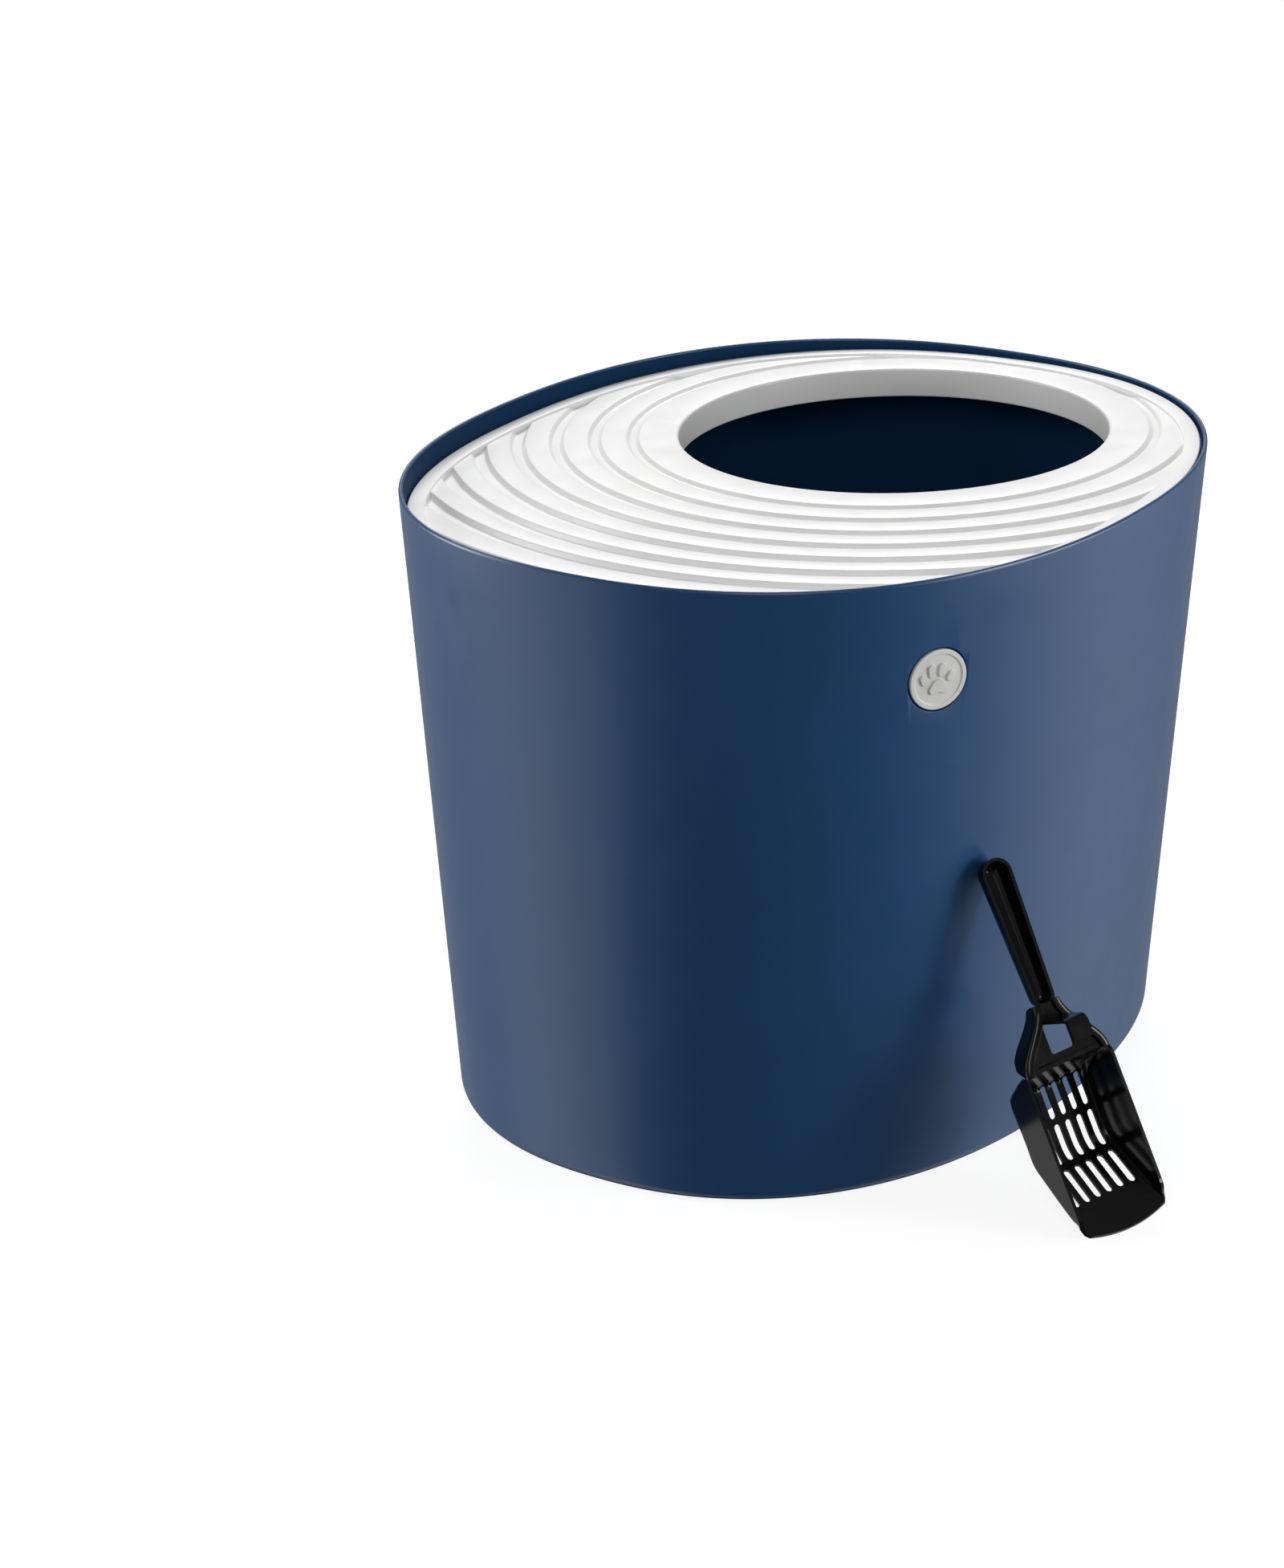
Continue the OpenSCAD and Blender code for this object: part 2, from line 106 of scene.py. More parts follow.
def bakeModifiers(obj):
    # The mesh becomes what its modifiers make of it.
    bpy.context.view_layer.update()
    deps = bpy.context.evaluated_depsgraph_get()
    done = bpy.data.meshes.new_from_object(obj.evaluated_get(deps))
    obj.modifiers.clear()
    obj.data = done


def smoothFaces(obj, degrees):
    # Smooth shading, with sharp edges where two faces meet at more than the angle.
    obj.data.shade_smooth()
    obj.data.set_sharp_from_angle(angle=math.radians(degrees))


def roundedPath(corners, radii, steps=4, closed=False, mostShare=0.49):
    # A path whose corners are replaced by a quadratic curve that starts and ends the given
    # distance from the corner, at most a share of its side: p = (1-t)^2 a + 2t(1-t) corner + t^2 b.
    corners = np.asarray(corners, float)
    before = np.roll(corners, 1, axis=0) - corners
    after = np.roll(corners, -1, axis=0) - corners
    reach = np.minimum(np.linalg.norm(before, axis=1), np.linalg.norm(after, axis=1)) * mostShare
    cut = np.minimum(np.broadcast_to(np.asarray(radii, float), reach.shape), reach)
    a = corners + before / np.linalg.norm(before, axis=1)[:, None] * cut[:, None]
    b = corners + after / np.linalg.norm(after, axis=1)[:, None] * cut[:, None]
    t = np.linspace(0, 1, steps + 1)[None, :, None]
    curve = (1 - t) ** 2 * a[:, None] + 2 * t * (1 - t) * corners[:, None] + t ** 2 * b[:, None]
    if closed:
        return curve.reshape(-1, 2)
    inner = curve[1:-1].reshape(-1, 2)
    return np.concatenate([corners[:1], inner, corners[-1:]])


def smoothStep(v, low, high):
    # 0 up to low, 1 from high on, and 3t^2 - 2t^3 between them.
    t = np.clip((v - low) / (high - low), 0, 1)
    return t * t * (3 - 2 * t)


def lastInside(isInside, low, high, times):
    # The furthest value that is still inside, between two arrays, by halving the interval.
    for k in range(times):
        middle = (low + high) / 2
        inside = isInside(middle)
        low = np.where(inside, middle, low)
        high = np.where(inside, high, middle)
    return (low + high) / 2


def addNode(tree, kind, **values):
    # Node of a kind, with values for its inputs. An underscore stands for the space in a name.
    node = tree.nodes.new("ShaderNode" + kind)
    for name, value in values.items():
        node.inputs[name.replace("_", " ")].default_value = value
    return node


def wire(tree, *joins):
    # Joins nodes in pairs, each from an output of one to an input of the other.
    for source, output, target, entry in joins:
        tree.links.new(source.outputs[output], target.inputs[entry])


finish = {
    "refraction": 1.5,
    "noiseBand": (0.3, 0.7),  # stretch of the noise that runs over the whole range of a finish
    "details": (4, 6, 3),
}


def plasticFinish(name, settings):
    # Moulded plastic: a soft cloud in the colour, a finer haze in the gloss, and a faint orange
    # peel in the surface. Scales are in that order, and peel is its strength and its height.
    material = bpy.data.materials.new(name)
    material.use_nodes = True
    tree = material.node_tree
    shader = tree.nodes["Principled BSDF"]
    place = addNode(tree, "TexCoord")
    low, high = finish["noiseBand"]
    smooth, rough = settings["roughness"]
    cloud, haze, peel = [addNode(tree, "TexNoise", Scale=scale, Detail=detail)
                         for scale, detail in zip(settings["scales"], finish["details"])]
    tint = addNode(tree, "ValToRGB")
    tint.color_ramp.elements[0].position = low
    tint.color_ramp.elements[0].color = (*settings["darkColour"], 1)
    tint.color_ramp.elements[1].position = high
    tint.color_ramp.elements[1].color = (*settings["lightColour"], 1)
    gloss = addNode(tree, "MapRange", From_Min=low, From_Max=high, To_Min=smooth, To_Max=rough)
    bump = addNode(tree, "Bump", Strength=settings["peel"][0], Distance=settings["peel"][1])
    wire(tree, (place, "Object", cloud, "Vector"), (cloud, "Fac", tint, "Fac"),
         (tint, "Color", shader, "Base Color"),
         (place, "Object", haze, "Vector"), (haze, "Fac", gloss, "Value"),
         (gloss, "Result", shader, "Roughness"),
         (place, "Object", peel, "Vector"), (peel, "Fac", bump, "Height"),
         (bump, "Normal", shader, "Normal"))
    shader.inputs["IOR"].default_value = finish["refraction"]
    shader.inputs["Specular IOR Level"].default_value = settings["gloss"]
    return material


navyPlastic = plasticFinish("navyPlastic", {
    "darkColour": (0.0140, 0.059, 0.156),
    "lightColour": (0.0150, 0.065, 0.172),
    "gloss": 0.5,
    "roughness": (0.30, 0.36),
    "scales": (9, 60, 900),
    "peel": (0.06, 0.0002),
})

# Darker, rougher copy of the navy for the inside of the bucket. Its darker colour is painted shade for the
# inside, which gets less light; the roughness and low gloss make it a satin finish.
navyInsidePaintedShade = plasticFinish("navyInsidePaintedShade", {
    "darkColour": (0.0055, 0.029, 0.080),
    "lightColour": (0.0060, 0.032, 0.087),
    "gloss": 0.04,
    "roughness": (0.55, 0.65),
    "scales": (9, 60, 900),
    "peel": (0.12, 0.0002),
})

whitePlastic = plasticFinish("whitePlastic", {
    "darkColour": (0.84, 0.84, 0.835),
    "lightColour": (0.88, 0.88, 0.875),
    "gloss": 0.5,
    "roughness": (0.30, 0.38),
    "scales": (7, 50, 700),
    "peel": (0.05, 0.0002),
})

greyPlastic = plasticFinish("greyPlastic", {
    "darkColour": (0.60, 0.60, 0.59),
    "lightColour": (0.66, 0.66, 0.65),
    "gloss": 0.5,
    "roughness": (0.38, 0.48),
    "scales": (60, 300, 2500),
    "peel": (0.12, 0.00005),
})

blackPlastic = plasticFinish("blackPlastic", {
    "darkColour": (0.0035, 0.0035, 0.0035),
    "lightColour": (0.0055, 0.0055, 0.0055),
    "gloss": 0.36,
    "roughness": (0.13, 0.19),
    "scales": (25, 120, 900),
    "peel": (0.08, 0.0001),
})
print("materials made")


bucket = {
    "height": 370,
    "rimLength": 519.3,
    "rimWidth": 432.7,
    "footLength": 490.7,
    "footWidth": 374.3,
    "squareness": 2.25,
    "wall": 2.5,
    "footRadius": 7,
    "floorRadius": 5.5,
    "rimSoftness": 2.2,
    "seatHeight": 359.0,
    "ledgeReach": 7.5,
    "ledgeThick": 2.5,
    "ledgeRadii": [0, 0.6, 0.6, 0.6, 2, 0],
    "slantAbove": [3, 5],  # over the seat: the whole slant up to the first, half of it at the second
    "slantBelow": [10, 22],  # under the ledge: the whole slant down to the first, none from the second
    "lidRiseX": 0.0151,
    "lidRiseY": -0.0185,
    "around": 480,
    "cornerPoints": 9,
    "outerLevels": 18,
    "innerLevels": 12,
    "footRings": [0, 0.2, 0.4, 0.6, 0.8, 0.93],  # shares of the foot's outline
    "floorRings": [0.96, 0.9, 0.75, 0.5, 0.25, 0],  # and of the inner floor's
    "sharpAngle": 32,
}
taperX = (bucket["rimLength"] - bucket["footLength"]) / 2 / bucket["height"]
taperY = (bucket["rimWidth"] - bucket["footWidth"]) / 2 / bucket["height"]


def halfX(z):
    # Half length of the oval at a height: a straight taper from foot to rim.
    return bucket["footLength"] / 2 + taperX * z


def halfY(z):
    # Half width of the oval at a height, in the same way.
    return bucket["footWidth"] / 2 + taperY * z


def bulge(v):
    # |v|^(2/n) with the sign of v, the power of the oval.
    return np.sign(v) * np.abs(v) ** (2 / bucket["squareness"])


def isInOval(x, y, a, b):
    # |x / a|^n + |y / b|^n < 1.
    return np.abs(x / a) ** bucket["squareness"] + np.abs(y / b) ** bucket["squareness"] < 1


def ovalLine(a, b, angles):
    # Oval of half length a and half width b: x = a |cos t|^(2/n), y = b |sin t|^(2/n),
    # each with the sign of its cosine or sine.
    return np.stack([a * bulge(np.cos(angles)), b * bulge(np.sin(angles))], -1)


def bucketRing(z, inset, slantShare, scale, angles):
    # One level of the bucket: the oval at height z, drawn in by the inset, and lifted by its
    # share of the lid's slant. Scale runs from 1 to 0 towards the middle of a floor.
    flat = ovalLine(halfX(z) - inset, halfY(z) - inset, angles) * scale
    lift = slantShare * (bucket["lidRiseX"] * flat[:, 0] + bucket["lidRiseY"] * flat[:, 1])
    flat = flat * (1 + lift[:, None] * np.array([taperX / halfX(bucket["seatHeight"]),
                                                 taperY / halfY(bucket["seatHeight"])]))
    return np.column_stack([flat, z + lift])


def bucketProfile():
    # Rows of [height, inset, share of the slant, scale], from the middle of the underside,
    # up the outside, over the rim, round the ledge and down to the middle of the inner floor.
    radius = bucket["footRadius"]
    rows = [[0, radius, 0, s] for s in bucket["footRings"]]
    turn = np.radians(np.linspace(0, 90, bucket["cornerPoints"]))
    rows += [[radius * (1 - math.cos(a)), radius * (1 - math.sin(a)), 0, 1] for a in turn]
    top = bucket["height"] - bucket["rimSoftness"]
    rows += [[z, 0, 0, 1] for z in np.linspace(radius, top, bucket["outerLevels"])[1:-1]]
    half = bucket["wall"] / 2
    rows += [[top + bucket["rimSoftness"] * math.sin(a), half * (1 - math.cos(a)), 0, 1] for a in turn]
    rows += [[bucket["height"] - half * (1 - math.cos(a)), half * (1 + math.sin(a)), 0, 1] for a in turn[1:]]
    seat, wall, reach = bucket["seatHeight"], bucket["wall"], bucket["ledgeReach"]
    under = seat - bucket["ledgeThick"]
    wholeAbove, halfAbove = bucket["slantAbove"]
    wholeBelow, noneBelow = bucket["slantBelow"]
    rows += [[seat + halfAbove, wall, 0.5, 1]]
    ledge = roundedPath([[seat + wholeAbove, wall], [seat, wall], [seat, wall + reach],
                         [under, wall + reach], [under - reach, wall],
                         [under - reach - wholeBelow, wall]], bucket["ledgeRadii"], 3)
    rows += [[z, inset, 1, 1] for z, inset in ledge]
    inner = bucket["floorRadius"]
    rows += [[z, wall, 0, 1] for z in np.linspace(under - reach - noneBelow, wall + inner,
                                                  bucket["innerLevels"])[:-1]]
    rows += [[wall + inner * (1 - math.cos(a)), wall + inner * (1 - math.sin(a)), 0, 1]
             for a in turn[::-1]]
    rows += [[wall, wall + inner, 0, s] for s in bucket["floorRings"]]
    return rows


def wallFrame(angle, z):
    # Point on the outer wall at the oval's own angle and a height, with the directions to the
    # right, up the wall and out of it as its columns.
    t = math.radians(angle)
    c, s = math.cos(t), math.sin(t)
    point = np.append(ovalLine(halfX(z), halfY(z), np.array([t]))[0], z)
    power = 2 - 2 / bucket["squareness"]
    nx = math.copysign(abs(c) ** power, c) / halfX(z)
    ny = math.copysign(abs(s) ** power, s) / halfY(z)
    turn = math.atan2(ny, nx)
    tilt = math.atan(math.cos(turn) * taperX * bulge(c) + math.sin(turn) * taperY * bulge(s))
    out = np.array([math.cos(tilt) * math.cos(turn), math.cos(tilt) * math.sin(turn), -math.sin(tilt)])
    right = np.array([-math.sin(turn), math.cos(turn), 0])
    return point, np.column_stack([right, np.cross(out, right), out])


badge = {
    "diameter": 35.0,
    "angle": -126.4,
    "height": 311.2,
    "pocketDepth": 1.6,
    "pocketGap": 1.15,
    "pocketLip": 0.35,
    "proud": 0.4,
    "ring": 2.8,
    "recess": 0.6,
    "relief": 1.1,
    "stem": 5.8,
    "stemGap": 0.2,
    "head": 8,
    "headLength": 2,
    "bossBack": -5.0,
    "bossRim": 2,
    "bossRadii": [0.3, 0.3, 0.8, 0.1],
    "cutDepth": 9,  # how far the pocket's cutter goes behind the wall, in front, outwards and clear
    "cutHeight": 6,
    "cutMargin": 2.5,
    "cutClear": 0.25,
    "cutAround": 192,
    "lipStraight": 0.4,
    "halvings": 40,
    "around": 360,
    "latheAround": 144,
    "faceRings": 106,
    "firstRing": 0.4,
    "edgeRound": 0.5,
    "ringSlope": 0.35,
    "backGap": 0.1,
    "sideStraight": 0.8,
    "headGap": 0.2,
    "headTaper": 0.5,
    "backRadii": [0, 0.3, 0.4, 0.1, 0.2, 0.3, 0],
    "sharpAngle": 50,
}
badgePoint, badgeAxes = wallFrame(badge["angle"], badge["height"])


def fromBadge(local):
    # From right, up and out at the badge's point to the part's own frame.
    return badgePoint + local @ badgeAxes.T


def wallLevel(x, y):
    # Height of the wall above the badge's plane at a place on it.
    def isInside(z):
        # The point at height z over the badge's plane is in the oval of its own level.
        p = fromBadge(np.stack([x, y, z], -1))
        return isInOval(p[..., 0], p[..., 1], halfX(p[..., 2]), halfY(p[..., 2]))

    span = np.full(x.shape, float(badge["cutHeight"]))
    return lastInside(isInside, -span, span, badge["halvings"])


def pocketCutter():
    # Lathe of the pocket, each column shifted to follow the wall: straight side, a round lip
    # that runs out onto the wall, and a wide top that stands clear of it.
    radius = badge["diameter"] / 2 + badge["pocketGap"]
    lip = badge["pocketLip"]
    angles = fullTurn(badge["cutAround"])
    level = wallLevel(radius * np.cos(angles), radius * np.sin(angles))
    turn = np.radians(np.linspace(0, 90, 6))
    deep, high, wide = badge["cutDepth"], badge["cutHeight"], radius + badge["cutMargin"]
    rows = [[0, -deep, 0], [radius, -deep, 0], [radius, -lip - badge["lipStraight"], 1]]
    rows += [[radius + lip * (1 - math.cos(a)), -lip + lip * math.sin(a), 1] for a in turn]
    rows += [[wide, badge["cutClear"], 1], [wide, high, 1], [0, high, 0]]
    grid = np.array([np.column_stack([r * np.cos(angles), r * np.sin(angles), z + follow * level])
                     for r, z, follow in rows])
    points, faces = weld(grid.reshape(-1, 3), gridQuads(len(rows), len(angles)))
    return fromBadge(points), faces


def latheGrid(profile, angles):
    # Rows of points: each [radius, height] of a profile carried round through the angles.
    r, z = np.asarray(profile, float).T[:, :, None]
    return np.stack(np.broadcast_arrays(r * np.cos(angles), r * np.sin(angles), z), -1)


def latheAboutBadge(profile):
    # Closed section of [radius, height] turned about the badge's axis.
    grid = latheGrid(profile, fullTurn(badge["latheAround"]))
    return weld(fromBadge(grid.reshape(-1, 3)), loopQuads(*grid.shape[:2]))


def buildBucket():
    # The profile carried round the oval, less the badge's pocket, with the boss behind it as a
    # part of its own. Faces further in than the middle of the wall take the darker, rougher inner navy,
    # whose darker colour is painted shade.
    angles = fullTurn(bucket["around"])
    rows = bucketProfile()
    grid = np.array([bucketRing(*row, angles) for row in rows])
    points, faces = weld(grid.reshape(-1, 3), gridQuads(len(rows), len(angles)))
    shell = makeObject("bucketMoulding", points, faces, navyPlastic)
    cutter = makeObject("pocketCut", *pocketCutter(), navyPlastic)
    cut = shell.modifiers.new("pocket", "BOOLEAN")
    cut.object = cutter
    cut.solver = "EXACT"
    bakeModifiers(shell)
    bpy.data.objects.remove(cutter)

    bore = badge["stem"] / 2 + badge["stemGap"]
    radius = badge["diameter"] / 2 + badge["pocketGap"]
    floor, back, outer = -badge["pocketDepth"], badge["bossBack"], radius + badge["bossRim"]
    section = roundedPath([[bore, floor], [bore, back], [outer, back], [outer, floor]],
                          badge["bossRadii"], 3, closed=True)
    boss = makeObject("badgeBoss", *latheAboutBadge(section), navyPlastic)
    with bpy.context.temp_override(active_object=shell, selected_editable_objects=[shell, boss]):
        bpy.ops.object.join()
    # The inner faces get the darker navy: painted shade on the inside of the bucket.
    shell.data.materials.append(navyInsidePaintedShade)
    middles = np.empty(3 * len(shell.data.polygons))
    shell.data.polygons.foreach_get("center", middles)
    x, y, z = middles.reshape(-1, 3).T / millimetre
    half = bucket["wall"] / 2
    inside = isInOval(x, y, halfX(z) - half, halfY(z) - half)
    inside &= (z > half) & (z < bucket["height"] - half)
    shell.data.polygons.foreach_set("material_index", inside.astype(np.int32))
    smoothFaces(shell, bucket["sharpAngle"])
    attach(shell, "bucket")
    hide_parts("bucket")
    print("bucket made", len(shell.data.polygons))


buildBucket()


lid = {
    "level": 360.3,
    "borderInset": 3.5,
    "skirtInset": 11,
    "fieldInset": 13.5,
    "fieldEdge": 12.25,
    "borderTop": 1.5,
    "borderUnder": -1.0,
    "skirtBottom": -12.5,
    "fieldThick": 2.2,
    "edgeSoftness": 0.9,
    "holeRadius": 130.6,
    "holeX": 92.9,
    "holeY": -3.2,
    "collarHeight": 18.4,
    "collarThick": 2.5,
    "collarRound": 2,
    "grooveFirst": 158.5,
    "groovePitch": 23.48,
    "grooveCount": 8,
    "grooveTop": 7.5,
    "grooveBottom": 3.8,
    "grooveDepth": 2.2,
    "grooveSoftness": 0.6,
    "grooveWiden": 3.6,
    "grooveDeepen": 1.2,
    "around": 400,
    "farRadius": 380.0,
    "collarEdgeRound": 0.9,
    "collarLevels": [-9, -10, -6],  # on the hole's side: end of the top and of the rim; start of its back
    "collarGuard": 0.1,  # from the collar to where the field's heights are looked up by radius
    "skirtRound": 0.5,
    "underRound": 0.3,
    "fineSteps": 7200,
    "leastAngle": 0.0004,
    "mostReach": 500.0,
    "halvings": 44,
    "weldStep": 0.002,
    "sharpAngle": 38,
}
lidTurn = (turnAbout("Y", -math.degrees(math.atan(bucket["lidRiseX"])))
           @ turnAbout("X", math.degrees(math.atan(bucket["lidRiseY"]))))


def fromLid(local):
    # From the lid's own plane to the part's frame: its slant, then its level.
    return local @ lidTurn.T + np.array([0, 0, lid["level"]])


def fieldReach(angles, inset):
    # Distance from the hole's centre to the oval along each direction.
    a = halfX(bucket["seatHeight"]) - inset
    b = halfY(bucket["seatHeight"]) - inset

    def isInside(r):
        # The point at radius r is in the oval.
        return isInOval(lid["holeX"] + r * np.cos(angles), lid["holeY"] + r * np.sin(angles), a, b)

    none = np.zeros(angles.shape)
    return lastInside(isInside, none, none + lid["mostReach"], lid["halvings"])


def fieldProfile():
    # Closed section [radius, height] of the grooved field: rounded hole edge, grooves, the far
    # end, the underside that follows the grooves, and the collar. Away from the hole the grooves
    # grow deeper, and wider towards the hole, up to the last but one.
    hole, ring = lid["holeRadius"], lid["collarThick"]
    centre = lid["grooveFirst"] + lid["groovePitch"] * np.arange(lid["grooveCount"])
    last = lid["grooveCount"] - 1
    outward = np.interp(np.arange(lid["grooveCount"]), [0, last - 1, last], [0, 1, 0])
    level = 0 * centre
    wide, narrow = lid["grooveTop"] / 2, lid["grooveBottom"] / 2
    inner = centre - wide - lid["grooveWiden"] * outward
    deep = -lid["grooveDepth"] - lid["grooveDeepen"] * outward
    corners = np.stack([inner, level, inner + wide - narrow, deep, centre + narrow, deep,
                        centre + wide, level], -1).reshape(-1, 2)
    far = lid["farRadius"]
    sideStart, sideEnd, backStart = lid["collarLevels"]
    radii = np.concatenate([[0, lid["collarRound"]], np.full(len(corners), lid["grooveSoftness"]), [0]])
    top = roundedPath(np.concatenate([[[hole, sideStart], [hole, 0]], corners, [[far, 0]]]), radii)
    under = (corners - [0, lid["fieldThick"]])[::-1]
    low = -lid["collarHeight"]
    bottom = np.concatenate([[[far, -lid["fieldThick"]]], under, [[hole + ring, -lid["fieldThick"]]]])
    edge = lid["collarEdgeRound"]
    rim = roundedPath([[hole + ring, backStart], [hole + ring, low], [hole, low], [hole, sideEnd]],
                      [0, edge, edge, 0])
    return np.concatenate([top, bottom, rim])


def buildField():
    # Polar grid about the hole's centre. Each radius stops at the oval, and a column is added
    # where a radius meets the oval, so that every groove ends there cleanly.
    profile = fieldProfile()
    dense = np.linspace(0, 2 * math.pi, lid["fineSteps"] + 1)
    reach = fieldReach(dense, lid["fieldEdge"])
    radii = np.unique(np.round(profile[:, 0], 4))
    side = np.sign(reach[None] - radii[:, None])
    row, column = np.nonzero(side[:, :-1] * side[:, 1:] < 0)
    before = reach[column] - radii[row]
    after = reach[column + 1] - radii[row]
    crossings = dense[column] + (dense[1] - dense[0]) * before / (before - after)
    angles = np.sort(np.concatenate([dense[:-1][::lid["fineSteps"] // lid["around"]], crossings]))
    angles = angles[np.concatenate([[True], np.diff(angles) > lid["leastAngle"]])]
    reach = fieldReach(angles, lid["fieldEdge"])
    radius, height = profile[:, :1], profile[:, 1:]
    r = np.minimum(radius, reach[None])
    count = len(profile)
    isTop = np.arange(count)[:, None] < topCount(profile)
    isUnder = ~isTop & isLower(profile)[:, None]
    z = np.where(isUnder, np.interp(r, *lowerLine(profile)), height)
    z = np.where(isTop, np.interp(r, *upperLine(profile)), z)
    z = np.where(radius > lid["holeRadius"] + lid["collarThick"] + lid["collarGuard"], z, height)
    grid = np.stack([lid["holeX"] + r * np.cos(angles), lid["holeY"] + r * np.sin(angles), z], -1)
    points, faces = weld(grid.reshape(-1, 3), loopQuads(count, len(angles))[:, ::-1], lid["weldStep"])
    return fromLid(points), faces


def topCount(profile):
    # Number of points on the top: they run out to the furthest one.
    return int(np.argmax(profile[:, 0])) + 1


def upperLine(profile):
    # Radii and heights of the top, outwards from the hole's edge.
    line = profile[:topCount(profile)]
    return line[line[:, 0] > lid["holeRadius"] + lid["weldStep"] / 2].T


def isLower(profile):
    # The underside: higher than half the collar and clear of the hole.
    clear = profile[:, 0] > lid["holeRadius"] + lid["collarThick"] / 2
    return clear & (profile[:, 1] > -lid["collarHeight"] / 2)


def lowerLine(profile):
    # Radii and heights of the underside, outwards from the collar.
    line = profile[topCount(profile):]
    line = line[isLower(line)][::-1]
    return line[np.argsort(line[:, 0], kind="stable")].T


def buildBorder():
    # The border, its step down to the field and the skirt: one rounded section carried round the oval.
    top, under, low = lid["borderTop"], lid["borderUnder"], lid["skirtBottom"]
    section = roundedPath(
        [[lid["borderInset"], under], [lid["borderInset"], top], [lid["fieldInset"], top],
         [lid["fieldInset"], low], [lid["skirtInset"], low], [lid["skirtInset"], under]],
        [lid["underRound"], lid["edgeSoftness"], lid["edgeSoftness"], lid["skirtRound"],
         lid["skirtRound"], lid["underRound"]], closed=True)
    angles = fullTurn(lid["around"])
    seat = bucket["seatHeight"]
    grid = np.array([np.column_stack([ovalLine(halfX(seat) - inset, halfY(seat) - inset, angles),
                                      np.full(len(angles), z)]) for inset, z in section])
    points, faces = weld(grid.reshape(-1, 3), loopQuads(len(section), len(angles)))
    return fromLid(points), faces


def joinParts(parts):
    # Puts meshes into one. The numbers in each one's faces go up by the points before it.
    points, faces, start = [], [], 0
    for partPoints, partFaces in parts:
        points.append(partPoints)
        faces += [[start + k for k in face] for face in partFaces]
        start += len(partPoints)
    return np.concatenate(points), faces


def buildLid():
    # The grooved field and the border with its skirt, as one piece.
    cover = makeObject("groovedCover", *joinParts([buildField(), buildBorder()]), whitePlastic)
    smoothFaces(cover, lid["sharpAngle"])
    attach(cover, "lid")
    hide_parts("lid")
    print("lid made", len(cover.data.polygons))


buildLid()


paw = {
    "toes": [[-4.7, 5.9, 4.9, 8.6, -6], [2.2, 5.9, 4.9, 8.6, 6],
             [-10.0, 1.0, 4.6, 7.2, -22], [8.2, 1.2, 4.6, 7.2, 22]],
    "padLobes": [[-3.2, -6.2, 3], [3.2, -6.2, 3], [0, -4.2, 4.6]],
    "padBite": [0, -11.6, 3.6],
    "edge": 0.42,
    "drawnRadius": 16,  # the numbers above are for a field of this radius
    "lobeBlend": 1.6,
    "biteBlend": 0.8,
}


def softMin(a, b, k):
    # The lesser of two, rounded over a span k: min(a, b) - h^2 k / 4 with h = max(k - |a - b|, 0) / k.
    h = np.maximum(k - np.abs(a - b), 0) / k
    return np.minimum(a, b) - h * h * k / 4


def pawDistance(x, y):
    # Signed distance to a generic paw print: four bars with round ends that lean outwards, and
    # a pad of three circles less a circle below.
    u = (badge["diameter"] / 2 - badge["ring"]) / paw["drawnRadius"]
    shape = np.full(x.shape, np.inf)
    for cx, cy, wide, long, lean in paw["toes"]:
        a = math.radians(lean)
        dx, dy = x - cx * u, y - cy * u
        half = (long - wide) / 2 * u
        along = np.clip(dx * math.sin(a) + dy * math.cos(a), -half, half)
        away = np.hypot(dx - along * math.sin(a), dy - along * math.cos(a)) - wide / 2 * u
        shape = np.minimum(shape, away)
    pad = np.full(x.shape, 2.0 * badge["diameter"])
    for cx, cy, r in paw["padLobes"]:
        pad = softMin(pad, np.hypot(x - cx * u, y - cy * u) - r * u, paw["lobeBlend"] * u)
    cx, cy, r = paw["padBite"]
    pad = -softMin(-pad, np.hypot(x - cx * u, y - cy * u) - r * u, paw["biteBlend"] * u)
    return np.minimum(shape, pad)


def buildBadge():
    # Polar height field for the face: the level of the field, a smooth step up to the ring and a
    # smooth step up to the paw. Its side, back, stem and snap head follow as a lathe.
    outer, edge = badge["diameter"] / 2, badge["edgeRound"]
    angles = fullTurn(badge["around"])
    faceRadii = np.concatenate([[0], np.linspace(badge["firstRing"], outer - edge, badge["faceRings"])])
    r, t = np.meshgrid(faceRadii, angles, indexing="ij")
    x, y = r * np.cos(t), r * np.sin(t)
    inner, slope = outer - badge["ring"], badge["ringSlope"]
    field = badge["proud"] - badge["recess"]
    z = field + badge["recess"] * smoothStep(r, inner - slope, inner + slope)
    z = z + badge["relief"] * smoothStep(-pawDistance(x, y), -paw["edge"] / 2, paw["edge"] / 2)
    face = np.stack([x, y, z], -1)
    back = badge["backGap"] - badge["pocketDepth"]
    stem, head, boss = badge["stem"] / 2, badge["head"] / 2, badge["bossBack"] - badge["headGap"]
    tip, end = stem - badge["headTaper"], boss - badge["headLength"]
    turn = np.radians(np.linspace(15, 90, 6))
    side = [[outer - edge + edge * math.sin(a), badge["proud"] - edge + edge * math.cos(a)] for a in turn]
    rest = roundedPath([[outer, back + badge["sideStraight"]], [outer, back], [stem, back], [stem, boss],
                        [head, boss], [tip, end], [0, end]], badge["backRadii"], 3)
    grid = np.concatenate([face, latheGrid(side + rest.tolist(), angles)])
    points, faces = weld(grid.reshape(-1, 3), gridQuads(len(grid), len(angles))[:, ::-1])
    button = makeObject("pawButton", fromBadge(points), faces, greyPlastic)
    smoothFaces(button, badge["sharpAngle"])
    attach(button, "bucket")
    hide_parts("badge")
    print("badge made", len(button.data.polygons))


buildBadge()


